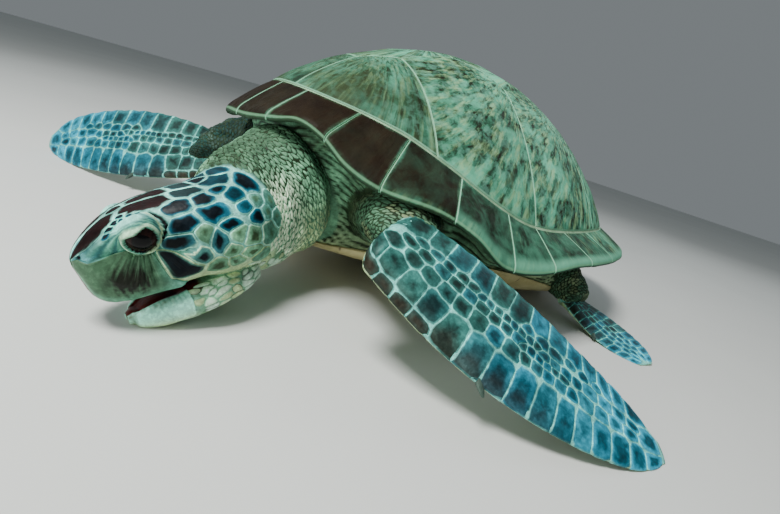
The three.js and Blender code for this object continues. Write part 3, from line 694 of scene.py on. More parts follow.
# %% [markdown]
# ## Eyelids, creases and mouth
# The lids wrap the eyeball like a sleeve: a skin point near the eye keeps its direction from the
# eye's centre and takes a new distance from it. Inside the opening it hides behind the
# eyeball, at the lid's edge it rides just over it, and further out it eases back to the head.

# %% The eye's opening
EYE_LOOK = unit([0.87, -0.36, -0.34])
OPENING_TURNS = [0, 25, 58, 88, 110, 140, 185, 240, 290, 330, 360]
OPENING_WIDTHS = [49, 37, 30, 37, 50, 48, 44, 46, 50, 50, 49]
BEHIND_BALL, LID_LEAST, LID_REACH = 16.0, 24.0, 24.4


def eye_polar(local, mirror):
    """Distance from the eye's centre, angle from its axis, and direction round it, in degrees."""
    away = local * [mirror, 1, 1] - np.array(EYE_PLACE)
    far = np.linalg.norm(away, axis=-1)
    cosine = (away @ EYE_LOOK) / far
    front = unit(np.array([0, -1.0, 0]) + EYE_LOOK * EYE_LOOK[1])
    over = np.cross(front, EYE_LOOK)
    over = over if over[2] > 0 else -over
    round_axis = np.degrees(np.arctan2(away @ over, away @ front)) % 360
    return away / far[..., None], far, np.degrees(np.arccos(np.clip(cosine, -1, 1))), round_axis


def path_distance(back, side, path):
    """Shortest distance to a line of stops on the head, with a degree of turn taken as a millimetre."""
    here = np.stack([back, side], -1)
    best = np.full(back.shape, 1e9)
    for a, b in zip(np.array(path, float)[:-1], np.array(path, float)[1:]):
        t = np.clip(((here - a) @ (b - a)) / ((b - a) @ (b - a)), 0, 1)
        best = np.minimum(best, np.linalg.norm(here - a - t[..., None] * (b - a), axis=-1))
    return best


CRESCENT = [(78, 38), (85, 50), (88, 66), (84, 86), (76, 99), (64, 109), (54, 112)]
BEAK_TOP = [(4, 62), (12, 72), (20, 81), (34, 98), (50, 108), (66, 113), (84, 122), (98, 134)]
MOUTH_BACK = 98.0
NOSTRIL = (5.5, 53)

local = (HEAD_GRID - SNOUT) @ HEAD.T
rows_head = BACK_MAP < HEAD_END + 20
lid_mark, lid_groove, lid_band_highlight, socket_mark = (np.zeros(BACK_MAP.shape) for _ in range(4))
for mirror, half in ((1, TURN_DEG <= 180), (-1, TURN_DEG > 180)):
    away, far, tilt, round_axis = eye_polar(local, mirror)
    margin = tilt - hermite(OPENING_TURNS, OPENING_WIDTHS, round_axis)
    rings = np.cos(2 * np.pi * margin / 7.5) * ease(0, 3, margin) * fade(30, 44, margin)
    sleeve = LID_REACH + 0.9 * bell(margin - 3, 4) + 0.6 * rings
    edge = BEHIND_BALL + (sleeve - BEHIND_BALL) * ease(-5.5, -0.5, margin)
    new = edge + (far + 0.6 * rings - edge) * ease(9, 34, margin)
    new = np.where(margin > 0, np.maximum(new, LID_LEAST + 0.4 * rings), new)
    near = half[None] & (far < 60) & (margin < 60)
    moved = (np.array(EYE_PLACE) + away * new[..., None]) * [mirror, 1, 1]
    local = np.where(near[..., None], moved, local)
    lid_mark = np.where(near, np.maximum(lid_mark, fade(20, 40, margin)), lid_mark)
    lid_groove = np.where(near & (margin > 0), (0.5 - 0.5 * rings) * fade(28, 42, margin), lid_groove)
    # a pale band round the lid, widened over the upper front of the eye as a painted highlight
    wide = 1 + 1.2 * bell(round_axis - 40, 38)
    band = bell(np.maximum(abs(margin / wide - 4.5) - 2, 0), 3.0) * ease(-1, 1, margin)
    lid_band_highlight = np.where(near, band, lid_band_highlight)
    socket_mark = np.where(near & (margin < -1.5), 1.0, socket_mark)

HEAD_GRID = np.where(rows_head[..., None], SNOUT + local @ HEAD, HEAD_GRID)
HEAD_UP = outer_normals(HEAD_GRID)

crescent = path_distance(BACK_MAP, SIDE_MAP, CRESCENT)
beak_line = path_distance(BACK_MAP, SIDE_MAP, BEAK_TOP)
local = (HEAD_GRID - SNOUT) @ HEAD.T
nostril_at = local[np.argmin(abs(BACK - NOSTRIL[0])), np.argmin(abs(TURN_DEG - NOSTRIL[1]))]
nostril = np.linalg.norm(abs(local * [1, 0, 0]) + local * [0, 1, 1] - nostril_at, axis=-1)
push = -3.0 * bell(crescent, 1.9) - 0.9 * bell(beak_line, 1.6)
push -= 2.4 * bell(nostril, 2.6)

# the palate: the floor of the front of the head is hollowed between the beak's two edges
local[..., 2] += 13.0 * ease(158, 172, SIDE_MAP) * ease(10, 24, BACK_MAP) * fade(80, 104, BACK_MAP)
skirt = bell(SIDE_MAP - 140, 11) * ease(22, 45, BACK_MAP) * fade(88, 104, BACK_MAP)
local[..., 2] -= 5.0 * skirt
HEAD_GRID = np.where(rows_head[..., None], SNOUT + local @ HEAD, HEAD_GRID)

# slack skin: broad folds across the neck, and a lip where it draws back under the shell
neck_part = ease(HEAD_END - 6, HEAD_END + 26, BACK_MAP)
around = compass(np.radians(TURN_DEG))[None] * 70
skewed = np.concatenate([np.broadcast_to(around, BACK_MAP.shape + (2,)), BACK_MAP[..., None] * 3.2], -1)
folds = ripple(skewed, 150, 21, 3)
creases = 1 - 2 * abs(np.sin(np.pi * (BACK_MAP / 11.0 + 0.8 * ripple(skewed, 220, 22, 3)))) ** 0.7
push += neck_part * (1.4 * folds - 1.7 * creases * ease(200, 235, BACK_MAP))
push += 5.0 * bell(BACK_MAP - 318, 13) * neck_part
push -= 4.0 * bell(BACK_MAP - 345, 12) * neck_part
HEAD_GRID = HEAD_GRID + HEAD_UP * push[..., None]
HEAD_UP = outer_normals(HEAD_GRID)
print("lid points", int((lid_mark > 0.5).sum()))

# %% Lower jaw
JAW_BACK = [36, 47, 68, 94, 124, 150, 175, 196]
JAW_SIZES = np.array([[10, -84, -101], [23, -75, -107], [36, -66, -110], [47, -62, -110], [56, -58, -106],
                      [58, -52, -102], [52, -50, -98], [40, -54, -92]], float)


def jaw_grid():
    """Rounded-square rings; their tops sink between the cutting edges, which carry small teeth."""
    back = np.linspace(35, 198, 110)
    turn = np.radians(np.linspace(0, 360, 88, endpoint=False))
    size = hermite(JAW_BACK, JAW_SIZES, back, flat_ends=False)
    size[:, 0] = np.where(back < 42, 10 * np.sqrt(np.clip((back - 33.5) / 5, 0, 1.4)), size[:, 0])
    middle, tall = (size[:, 1] + size[:, 2]) / 2, (size[:, 1] - size[:, 2]) / 2 - COAT / 2
    side, lift = (part[None] for part in rounded(np.pi / 2 - turn, 0.8))
    out = (size[:, :1] - COAT / 2) * side
    up = middle[:, None] + tall[:, None] * lift
    share = abs(out) / np.maximum(size[:, :1], 1)
    top = (lift > 0) * ease(37, 50, back)[:, None] * fade(88, 104, back)[:, None]
    up -= 8.0 * top * fade(0.45, 0.84, share)
    teeth = 1.5 * abs(np.sin(np.pi * back / 5.2))[:, None] * top
    up += teeth * bell(share - 0.86, 0.1)
    return head_point(out, back[:, None] * np.ones_like(out), up), back, np.degrees(turn)


JAW_GRID, JAW_ROWS, JAW_TURNS = jaw_grid()

# %% [markdown]
# ## Trunk, limbs and tail
# The trunk fills the shell and comes out under its rim as slack folded skin. Each flipper is a
# flat blade on a stout wrinkled arm. A blade's ring is an oval whose long axis leans by the
# flipper's tilt towards the ground, thicker along its leading edge.

# %% Trunk
BONE_GAP, SHELL_THICK = 3.0, 14.0
FLANK_ROWS = 92


def trunk_grid():
    """Rings under the dome, down the flank between rim and plastron, and in under the belly."""
    angle = np.linspace(-np.pi, np.pi, 216, endpoint=False)
    edge, reach, rim, rise, belt = section(angle)
    inner = 1 - belt / reach

    def ring(share, height):
        """A ring in plan at a share of the outline's reach, at its own heights."""
        return np.concatenate([plan_at(edge, share), height[:, None]], 1)

    rings = [shell_surface(plan_at(edge, share * inner))[0] - [0, 0, SHELL_THICK + BONE_GAP + more]
             for share, more in ((0.3, 0), (0.6, 0), (0.88, 6))]
    slack = fade(85, 118, np.degrees(abs(angle)))
    tucked = 0.3 * rise - BONE_GAP - 2
    flank = [ring(inner - 0.054 + 0.1 * slack, rim + tucked + (1 - tucked) * slack),
             ring(inner - 0.094 + 0.06 * slack, (rim + BRIDGE_RISE) / 2)]
    flank += [plastron_plan(angle, 1.01) + [0, 0, PLASTRON_THICK],
              plastron_plan(angle, 0.96) + [0, 0, 12]]
    steps = np.linspace(0, 3, FLANK_ROWS)
    rings += list(hermite(np.arange(4), np.array(flank), steps, flat_ends=False))
    rings += [plastron_plan(angle, share) + [0, 0, PLASTRON_THICK + BONE_GAP] for share in (0.86, 0.5)]
    return np.array(rings)


# %% Blades and arms
FRONT_CHORDS = [124, 146, 161, 166, 162, 150, 131, 100, 44]
HIND_CHORDS = [62, 84, 100, 106, 102, 86, 46]
LEADING_SHIFT = -0.025
LIMBS = {
    "front_left": dict(arm=[[170, -235, 112], [262, -258, 104], [312, -276, 90], [340, -288, 77]],
                       radii=[[80, 68], [66, 52], [46, 31], [26, 14]],
                       root=[338, -301, 84], tip=[572, 52, -77], bulge=[22, 0, -14], lean=[33, -12],
                       chords=FRONT_CHORDS, thick=[48, 9], side=1),
    "front_right": dict(arm=[[-190, -290, 140], [-226, -400, 138], [-246, -466, 116], [-268, -514, 82]],
                        radii=[[84, 76], [80, 66], [64, 48], [38, 18]],
                        root=[-240, -480, 88], tip=[-516, -820, 0], bulge=[28, -16, 12], lean=[44, 28],
                        chords=FRONT_CHORDS, thick=[48, 9], side=-1),
    "hind_left": dict(arm=[[130, 240, 76], [172, 256, 50], [214, 266, 24]],
                      radii=[[66, 52], [56, 42], [42, 28]],
                      root=[200, 256, 16], tip=[388, 300, -42], bulge=[-6, 12, -4], lean=[8, 2],
                      chords=HIND_CHORDS, thick=[38, 8], side=1),
    "hind_right": dict(arm=[[-130, 240, 80], [-172, 270, 62], [-206, 300, 46]],
                       radii=[[66, 48], [56, 38], [42, 26]],
                       root=[-198, 292, 42], tip=[-352, 452, 58], bulge=[-8, -10, -4], lean=[10, 2],
                       chords=HIND_CHORDS, thick=[36, 8], side=-1),
}


def blade_axes(limb, t):
    """A bent axis (quadratic curve), the direction of the leading edge, and the face's normal."""
    root, tip, bulge = (np.array(limb[key], float) for key in ("root", "tip", "bulge"))
    control = (root + tip) / 2 + 2 * bulge
    t = np.asarray(t, float)[:, None]
    point = (1 - t)**2 * root + 2 * t * (1 - t) * control + t**2 * tip
    along = unit(2 * (1 - t) * (control - root) + 2 * t * (tip - control))
    up = unit(GROUND_UP - along * (along @ GROUND_UP)[:, None])
    level = np.cross(along, up) * limb["side"]
    lean = np.radians(limb["lean"][0] + limb["lean"][1] * t)
    lead = level * np.cos(lean) - up * np.sin(lean)
    return point, along, lead, -limb["side"] * unit(np.cross(along, lead))


def blade_grid(limb, rows, cols):
    """Ovals along the axis: wide as the chord, thick at the root, thinner behind the leading edge."""
    cap = 9
    t = np.concatenate([np.zeros(cap), np.linspace(0, 1, rows)])
    point, along, lead, proud = blade_axes(limb, t)
    stops = np.linspace(0, 1, len(limb["chords"]))
    chord = hermite(stops, limb["chords"], t, flat_ends=False) - 2 * COAT
    thick = limb["thick"][0] + (limb["thick"][1] - limb["thick"][0]) * np.sqrt(t) - 2 * COAT
    swell = np.sin(np.linspace(0.16, np.pi / 2, cap))
    chord[:cap] *= swell
    thick[:cap] *= swell
    point[:cap] -= along[:cap] * (22 * np.cos(np.linspace(0.16, np.pi / 2, cap)))[:, None]
    tip = ease(0.94, 1.0, t)
    chord *= np.sqrt(1 - 0.35 * tip)
    turn = full_turn(cols)
    c, s = np.cos(turn)[None, :, None], np.sin(turn)[None, :, None]
    lobes = 1 + 0.035 * abs(np.sin(np.pi * t / 0.078))[:, None, None] * (c < -0.5) * (t < 0.9)[:, None, None]
    centre = point + lead * (LEADING_SHIFT * chord)[:, None]
    wide, high = chord[:, None, None] / 2, thick[:, None, None] / 2
    form = high * s * (0.86 + 0.28 * c)
    grid = centre[:, None] + lead[:, None] * wide * c * lobes + proud[:, None] * form
    return grid, t


def arm_grid(stops, radii, rows, cols, crease, seed):
    """An oval tube down a curve, creased across by long narrow folds, round at its far end."""
    stops, radii = np.array(stops, float), np.array(radii, float)
    t = np.linspace(0, 1, rows)
    knots = np.linspace(0, 1, len(stops))
    centre, before, after = (hermite(knots, stops, t + step, flat_ends=False) for step in (0, -0.01, 0.01))
    along = unit(after - before)
    along[-1], along[0] = along[-2], along[1]
    size = hermite(knots, radii, t, flat_ends=False) - COAT
    tail = np.linspace(0.05, 1, 8)
    reach = radii[-1, 1] * 0.35
    centre = np.concatenate([centre, centre[-1] + along[-1] * (reach * np.sin(tail * np.pi / 2))[:, None]])
    size = np.concatenate([size, size[-1] * np.cos(tail * 1.5)[:, None]])
    along = np.concatenate([along, np.repeat(along[-1:], 8, 0)])
    wide = unit(np.cross(along, [0, 0, 1.0]))
    tall = np.cross(wide, along)
    turn = full_turn(cols)
    c, s = np.cos(turn)[None, :, None], np.sin(turn)[None, :, None]
    grid = centre[:, None] + wide[:, None] * size[:, :1, None] * c + tall[:, None] * size[:, 1:, None] * s
    up = unit(grid - centre[:, None])
    folds = ripple(grid * [1.0, 1.0, 2.4], 60, seed, 3)
    return grid + up * (crease * folds)[..., None]


TAIL_STOPS = [[0, 330, 66], [4, 400, 50], [12, 470, 34], [18, 512, 26]]
TAIL_RADII = [[44, 34], [34, 26], [22, 17], [9, 8]]

# %% [markdown]
# ## Scales from their neighbours
# Turtle scales are not tiles of one shape: each grows until it meets the next. So a scale is
# given a place, a length and a width on the skin's chart, and its outline in every direction
# is the nearest point that is as close to a neighbour, measured in the neighbour's own sizes.
# The outline is then lifted off the skin as a low plate with a rounded rim.

# %% Outlines
def outlines(centres, sizes, tilts, count, gap, limit, ghosts=()):
    """Each scale's reach along each ray, to where |x|^2 in its own sizes is |x|^2 in a neighbour's.

    A soft minimum over the neighbours rounds the corners; ghosts are shifts that repeat the chart.
    """
    spin = compass(tilts)
    across = np.stack([-spin[:, 1], spin[:, 0]], -1)
    metric = (spin[:, :, None] * spin[:, None] / sizes[:, :1, None]**2
              + across[:, :, None] * across[:, None] / sizes[:, 1:, None]**2)
    ray = compass(full_turn(count))
    own = np.einsum("kx,nxy,ky->nk", ray, metric, ray)
    all_centres, owner = centres, np.arange(len(centres))
    for shift in ghosts:
        all_centres = np.concatenate([all_centres, centres + shift])
        owner = np.concatenate([owner, np.arange(len(centres))])
    gap_between = np.linalg.norm(centres[:, None] - all_centres[None], axis=2)
    near = np.argsort(gap_between, axis=1)[:, 1:min(22, len(all_centres))]
    away = centres[:, None] - all_centres[near]
    other = metric[owner[near]]
    pulled = np.einsum("nmxy,nmy->nmx", other, away)
    beta = pulled @ ray.T
    gamma = (pulled * away).sum(-1)[..., None]
    spare = own[:, None] - own[owner[near]]
    root = beta**2 + spare * gamma
    lean = np.sqrt(np.maximum(root, 0)) - beta
    reach = np.where((root >= 0) & (lean > 1e-9), gamma / np.maximum(lean, 1e-9), 1e6)
    reach = np.concatenate([reach, (limit / np.sqrt(own))[:, None]], 1)
    return np.maximum((reach**-30.0).sum(1)**(-1 / 30.0) - gap / 2, 0.6)


# %% Plates
def plates(centres, reach, surface, shares, lifts, fields):
    """Rings of one outline at several shares, each lifted off the skin, closed below the skin."""
    count, rays = reach.shape
    ray = compass(full_turn(rays))
    shares, lifts = np.array(list(shares) + [1.0]), np.array(list(lifts) + [-0.9])
    chart = centres[:, None, None] + ray * reach[:, None, :, None] * shares[:, None, None]
    base, up = surface(chart)
    rings = base + up * lifts[:, None, None]
    middle, middle_up = surface(centres)
    top, under = middle + middle_up * lifts[0] * 1.05, middle - middle_up * 0.9
    points = np.concatenate([top[:, None], rings.reshape(count, -1, 3), under[:, None]], 1)
    share = np.concatenate([[0], np.repeat(shares, rays), [1]])
    levels = len(shares)
    first = 1 + np.arange(rays)
    after = 1 + (np.arange(rays) + 1) % rays
    grid = np.concatenate([np.stack([first + k * rays, after + k * rays, after + (k + 1) * rays,
                                     first + (k + 1) * rays], -1) for k in range(levels - 1)])
    last = (levels - 1) * rays
    fan = np.concatenate([np.stack([0 * first, after, first], -1),
                          np.stack([0 * first + 1 + levels * rays, first + last, after + last], -1)])
    step = (np.arange(count) * (2 + levels * rays))[:, None, None]
    flat = {"rim": np.tile(share, count)}
    for name, value in fields.items():
        flat[name] = np.repeat(value, 2 + levels * rays, axis=0)
    whole = np.concatenate([centres[:, None], chart.reshape(count, -1, 2), centres[:, None]], 1)
    flat["chart"] = whole.reshape(-1, 2)
    return outward(points.reshape(-1, 3), (grid + step).reshape(-1, 4), (fan + step).reshape(-1, 3), flat)


def painted(shape, atlas, span):
    """Adds the pigment, from a dark core over a middle tone to a pale rim, and the bake layout."""
    fields = shape["fields"]
    wave = 0.06 * ripple(shape["points"], 14, 31)
    core = ease(-0.14, 0.12, fields["rim"] - fields["dark_share"] + wave)[:, None]
    rim = ease(-0.05, 0.03, fields["rim"] - fields["mid_share"] + 0.3 * wave)[:, None]
    inner = fields["dark"] * (1 - core) + fields["mid"] * core
    fields["pigment"] = inner * (1 - rim) + fields["pale"] * rim
    low, wide = np.array(span[0], float), np.array(span[1], float) - span[0]
    fields["OFBake"] = np.array(atlas[:2]) + (fields["chart"] - low) / wide * np.array(atlas[2:])
    for name in ("chart", "dark", "mid", "pale", "dark_share", "mid_share"):
        fields.pop(name)
    return shape


# %% Colours, as linear light
MINT = np.array([0.22, 0.68, 0.53])
CREAM = np.array([0.60, 0.78, 0.42])
SEAM = np.array([0.34, 0.88, 0.76])
PALE_GREEN = np.array([0.20, 0.47, 0.28])
OLIVE = np.array([0.040, 0.075, 0.036])
MAROON = np.array([0.011, 0.0022, 0.0026])
NIGHT = np.array([0.004, 0.009, 0.014])
TEAL = np.array([0.008, 0.080, 0.115])
DEEP_BLUE = np.array([0.010, 0.120, 0.175])
SLATE = np.array([0.014, 0.036, 0.038])
BLACK = np.array([0.003, 0.003, 0.004])
FLESH_RED = np.array([0.07, 0.008, 0.006])
LID_GREEN = np.array([0.055, 0.21, 0.13])
LID_PALE = np.array([0.55, 0.92, 0.60])
THROAT_WHITE = np.array([0.72, 1.0, 0.80])
NECK_LIT_WHITE = np.array([0.85, 1.0, 0.74])
AQUA = np.array([0.24, 0.74, 0.66])
DEEP_GREEN = np.array([0.011, 0.034, 0.030])
SEA_GREEN = np.array([0.028, 0.120, 0.105])
BLADE_MINT = np.array([0.22, 0.70, 0.62])
BROWN = np.array([0.030, 0.020, 0.012])
YELLOW = np.array([0.42, 0.44, 0.16])
JAW_EDGE = np.array([0.34, 0.66, 0.52])
BEAK_GREEN = np.array([0.075, 0.170, 0.095])
BEAK_PALE = np.array([0.13, 0.36, 0.22])
BEAK_DARK = np.array([0.010, 0.006, 0.006])
BEAK_BLUE = np.array([0.40, 0.95, 0.76])
STAIN = np.array([0.12, 0.11, 0.045])


def mixed(a, b, amount):
    """Colour a, moved towards b by the amount, point by point."""
    amount = np.asarray(amount)[..., None]
    return a * (1 - amount) + b * amount


def layered(colour, *layers):
    """A colour under others, each laid on by its own amount."""
    for tint, amount in layers:
        colour = mixed(colour, tint, amount)
    return colour


# %% [markdown]
# ## Scales of the head
# A green turtle has one pair of long scales in front of the eyes, a large one over each eye,
# four behind it, and smaller ones that shrink towards the neck. Each line gives a scale's
# place behind the snout and round from the crown, its half sizes, how it is turned, how much
# of it is dark, and which dark. The other side is the same list mirrored.

# %% Head scales
HUES = {  # the core and the tone round it; x only keeps room for the eye and the beak
    "m": (MAROON, MAROON * 1.7 + SLATE * 0.25), "n": (NIGHT * 0.7, DEEP_BLUE * 1.2),
    "t": (TEAL * 0.5, DEEP_BLUE), "s": (SLATE * 0.7, DEEP_BLUE * 0.8),
    "o": (OLIVE * 1.4, PALE_GREEN * 1.05), "p": (PALE_GREEN * 0.35, MINT * 0.42), "x": (BLACK, BLACK),
}
PAIRED = [
    (27, 18, 25, 12, -28, 0.97, "m"), (80, 19, 27, 13, 10, 0.95, "m"), (122, 21, 18, 9, 0, 0.9, "s"),
    (166, 14, 18, 10, -4, 0.86, "t"), (105, 42, 15, 10, -12, 0.8, "n"), (103, 67, 16, 10, -4, 0.78, "n"),
    (98, 87, 13, 9.5, 0, 0.66, "n"), (96, 113, 15, 9.5, 6, 0.8, "n"), (134, 41, 10, 9.5, 0, 0.82, "n"),
    (137, 60, 13, 10.5, 8, 0.62, "n"), (154, 33, 7, 5, 0, 0.6, "n"), (166, 46, 8, 8, 0, 0.66, "t"),
    (186, 36, 9, 16, 0, 0.72, "n"), (122, 81, 9, 8, 0, 0.35, "o"), (150, 78, 8, 6.5, 20, 0.6, "n"),
    (168, 62, 6, 6.5, 10, 0.6, "t"), (182, 58, 6, 7, 0, 0.5, "p"), (176, 77, 6.5, 6.5, -10, 0.6, "n"),
    (188, 76, 6, 7, 0, 0.4, "p"), (136, 90, 8, 8, 0, 0.5, "n"), (156, 87, 7, 6, 30, 0.3, "o"),
    (115, 101, 9, 8, 10, 0.5, "n"), (134, 118, 12, 9, -8, 0.55, "o"), (168, 93, 8, 6.5, 20, 0.5, "o"),
    (148, 101, 7, 6, 0, 0.4, "o"), (166, 109, 9, 6.5, 0, 0.4, "o"), (188, 96, 9, 9, 0, 0.3, "p"),
    (52, 24, 4.2, 3.4, 0, 0.85, "n"), (45, 31, 4.4, 3.6, -20, 0.85, "n"), (38, 36, 4.2, 3.4, -30, 0.8, "n"),
    (33, 43, 4.0, 3.2, -40, 0.7, "n"), (50, 32, 3.4, 2.8, 0, 0.75, "t"), (60, 30, 3.6, 2.6, 0, 0.7, "t"),
    (67, 33, 3.6, 2.4, 0, 0.7, "t"), (198, 66, 7, 9, 0, 0.4, "p"), (201, 84, 7, 8, 0, 0.3, "p"),
    (150, 116, 8, 7, 0, 0.4, "o"), (178, 120, 9, 8, 0, 0.3, "p"), (66, 66, 21, 29, 0, 0, "x"),
    (45, 92, 30, 12, 0, 0, "x"), (72, 98, 12, 11, 0, 0, "x"), (69, 111, 11, 8, 0, 0, "x"),
]
MIDLINE = [(53, 0, 9, 6, 0, 0.95, "m"), (88, 0, 25, 12, 0, 0.93, "m"), (128, 0, 15, 11, 0, 0.9, "s"),
           (152, 0, 10, 9, 0, 0.85, "n"), (184, 0, 12, 12, 0, 0.75, "t")]


def head_surface(chart):
    """Skin and its normal at distance behind the snout and millimetres round from the crown."""
    row = np.interp(chart[..., 0], BACK, np.arange(len(BACK)))
    turn = chart[..., 1] % 360
    col = np.interp(turn, np.append(TURN_DEG, 360), np.arange(len(TURN_DEG) + 1))
    return on_skin(HEAD_GRID, HEAD_UP, row, col)


def head_scales():
    """The paired list on both sides and the midline, as plates over the skin."""
    right = [(row[0], -row[1], row[2], row[3], -row[4], row[5], row[6]) for row in PAIRED]
    back, side, long, wide, tilt, share, hue = (np.array(part) for part in zip(*PAIRED, *right, *MIDLINE))
    centres, sizes = np.stack([back, side], -1) * 1.0, np.stack([long, wide], -1)
    reach = outlines(centres, sizes, np.radians(tilt), 36, 1.4, 1.6)
    dark, mid = (np.array([HUES[letter][k] for letter in hue]) for k in range(2))
    shade = rng.uniform(0.8, 1.25, (len(hue), 1))
    low_side = ease(75, 115, abs(side))
    mid = mixed(mid, PALE_GREEN * 0.75, 0.6 * low_side)
    fields = {"dark": dark * shade, "mid": mid * shade, "pale": mixed(SEAM, CREAM * 1.05, low_side),
              "dark_share": share, "mid_share": np.full(len(hue), 0.93)}
    seen = hue != "x"
    fields = {name: value[seen] for name, value in fields.items()}
    shape = plates(centres[seen], reach[seen], head_surface, [0.3, 0.5, 0.66, 0.8, 0.9, 0.965, 1.0],
                   [1.6, 1.57, 1.5, 1.4, 1.2, 0.8, 0.2], fields)
    return painted(shape, (0.02, 0.02, 0.3, 0.3), ((0, -150), (210, 150)))


# %% [markdown]
# ## Neck and arm skin
# Where the turtle bends, its skin is a net of small raised lozenges with dark creases between
# them, longer across the fold than along it.

# %% Lozenges over bending skin
LOZENGE_LIFT = 0.8
NECK_MM = 1.5  # millimetres round the neck for each degree of turn


def lozenges(start, end, step, width, period, surface, keep, pale, dark, seed, atlas, gap=0.5):
    """Staggered rows of seeds, a little out of place, each grown into a low rounded plate."""
    source = np.random.default_rng(seed)
    rows = np.arange(start, end, step)
    cells = int(round(period / width))
    along = np.repeat(rows, cells) + source.uniform(-0.28, 0.28, len(rows) * cells) * step
    offset = np.repeat(np.arange(len(rows)) % 2 * 0.5, cells)
    around = (np.tile(np.arange(cells), len(rows)) + offset) * period / cells
    around += source.uniform(-0.24, 0.24, len(around)) * width
    centres = np.stack([along, around], -1)
    size = np.stack([np.full(len(along), step * 0.5), np.full(len(along), width * 0.8)], -1)
    size *= source.uniform(0.75, 1.25, (len(along), 1))
    tilt = source.normal(0.0, 0.25, len(along)) + 0.3 * np.sign(np.sin(along / 31.0 + np.sin(around / 60.0)))
    reach = outlines(centres, size, tilt, 12, gap, 1.6, ghosts=[[0, period], [0, -period]])
    point, _ = surface(centres)
    kept = keep(point, centres)
    centres, reach, point = centres[kept], reach[kept], point[kept]
    tint = source.uniform(0.75, 1.2, (len(centres), 1))
    crest, crease = pale(point, centres) * tint, dark(point, centres)
    fields = {"dark": crest, "mid": 0.6 * crest + 0.4 * crease, "pale": crease,
              "dark_share": np.full(len(centres), 0.75), "mid_share": np.full(len(centres), 0.97)}
    shape = plates(centres, reach, surface, [0.45, 0.78, 1.0],
                   [LOZENGE_LIFT, 0.7 * LOZENGE_LIFT, 0.05], fields)
    return painted(shape, atlas, ((start - 20, -10), (end + 20, period + 10)))


def clear_of_shell(points, inside):
    """True where a point is not up inside the shell by more than this share of its reach."""
    x, y = points[..., 0], points[..., 1]
    _, reach, _, _, belt = section(rim_angle(x, y))
    return np.hypot(x, y - DOME_Y) / reach > 1 - belt / reach - inside


def side_of(centres):
    """Degrees from the crown for places on a chart in millimetres round the neck."""
    return abs((centres[:, 1] / NECK_MM + 180) % 360 - 180)


def neck_surface(chart):
    """The head and neck grid again, its turn now in millimetres round the neck."""
    return head_surface(np.stack([chart[..., 0], chart[..., 1] / NECK_MM], -1))


def neck_pale(point, centres):
    """Pale green on top, cream at the throat, darker on the crown side, and near white on the sides near the
    head as painted light.
    """
    back, side = centres[:, 0], side_of(centres)
    near_head = fade(236, 295, back)
    top = fade(10, 55, side) * 0.8
    spots = ease(0.0, 0.4, ripple(point, 24, 47)) * fade(40, 85, side) * fade(225, 250, back)
    deep = ease(290, 335, back) * 0.5
    # painted light: near the head the sides turn near white, as if lit
    return layered(PALE_GREEN * 1.15, (CREAM, ease(70, 115, side)),
                   (NECK_LIT_WHITE, ease(40, 68, side) * near_head),
                   (OLIVE * 0.8, np.maximum.reduce([top, spots, deep])))


def neck_dark(point, centres):
    """Creases: dark green above, paler below, and paler towards the head as painted light."""
    side = side_of(centres)
    near_head = fade(230, 290, centres[:, 0])
    colour = mixed(PALE_GREEN * 0.45, PALE_GREEN * 0.65, ease(45, 110, side))
    # painted light: the creases near the head are lightened
    return mixed(colour, PALE_GREEN * 1.5, ease(40, 75, side) * near_head * 0.9)


def neck_kept(point, centres):
    """From behind the head scales to where the neck goes under the shell."""
    side = side_of(centres)
    start = 205 - 16 * ease(90, 120, side) * fade(125, 130, side) + 34 * ease(122, 126, side)
    return clear_of_shell(point, 0.12) & (centres[:, 0] > start)


def throat_kept(point, centres):
    """The throat behind the jaw, where the plates are large and pale."""
    return (side_of(centres) > 126) & (centres[:, 0] > 180) & (centres[:, 0] < 240)


def throat_dark(point, centres):
    """Green grey cracks, some of them almost black."""
    return mixed(PALE_GREEN * 1.1, OLIVE * 0.4, ease(0.2, 0.7, ripple(point, 26, 53)))


def throat_pale(point, centres):
    """Almost white, creamy in places."""
    return mixed(THROAT_WHITE, CREAM, ease(-0.5, 0.6, ripple(point, 40, 49)))


# %% [markdown]
# ## Flipper scales
# The front flipper has a band of large scales along its leading edge, small ones down the
# middle and broad ones along the trailing edge that end in lobes. They are placed along and
# across the blade: 0 to 1 from root to tip, 1 at the leading edge and -1 at the trailing one.

# %% Places along and across a front flipper
FRONT_ROWS = [  # across, half across, half along, places along
    (0.95, 0.13, 0.034, [0.0, 0.055, 0.11, 0.165]), (0.55, 0.3, 0.042, [-0.035, 0.035, 0.105, 0.17]),
    (0.72, 0.36, 0.040, [0.245, 0.325, 0.402, 0.472, 0.54, 0.605, 0.668, 0.735, 0.805, 0.875, 0.94]),
    (0.20, 0.16, 0.030, [0.0, 0.06, 0.12, 0.178, 0.232, 0.29, 0.345, 0.40]),
    (-0.10, 0.10, 0.022, [0.03, 0.085, 0.14, 0.19, 0.235, 0.28, 0.325, 0.367, 0.41]),
    (0.16, 0.10, 0.022, [0.45, 0.49, 0.53, 0.575, 0.62]),
    (-0.34, 0.09, 0.019, [0.05, 0.10, 0.145, 0.19, 0.23]),
    (-0.27, 0.07, 0.015, [0.265, 0.295, 0.325, 0.355, 0.385, 0.415, 0.445, 0.475]),
    (-0.03, 0.07, 0.016, [0.43, 0.46, 0.49, 0.52, 0.55, 0.58]),
    (-0.17, 0.08, 0.020, [0.505, 0.545, 0.59, 0.635]),
    (0.12, 0.15, 0.030, [0.672, 0.732, 0.79, 0.85]), (-0.20, 0.14, 0.030, [0.69, 0.75, 0.81, 0.87]),
    (-0.42, 0.12, 0.026, [0.43, 0.485, 0.545]),
    (-0.72, 0.28, 0.042, [0.02, 0.085, 0.155, 0.236, 0.315, 0.395, 0.468, 0.545, 0.62, 0.69, 0.755, 0.82,
                          0.885]),
    (-0.47, 0.10, 0.026, [0.605, 0.66, 0.715]), (0.0, 0.5, 0.045, [0.945]),
]
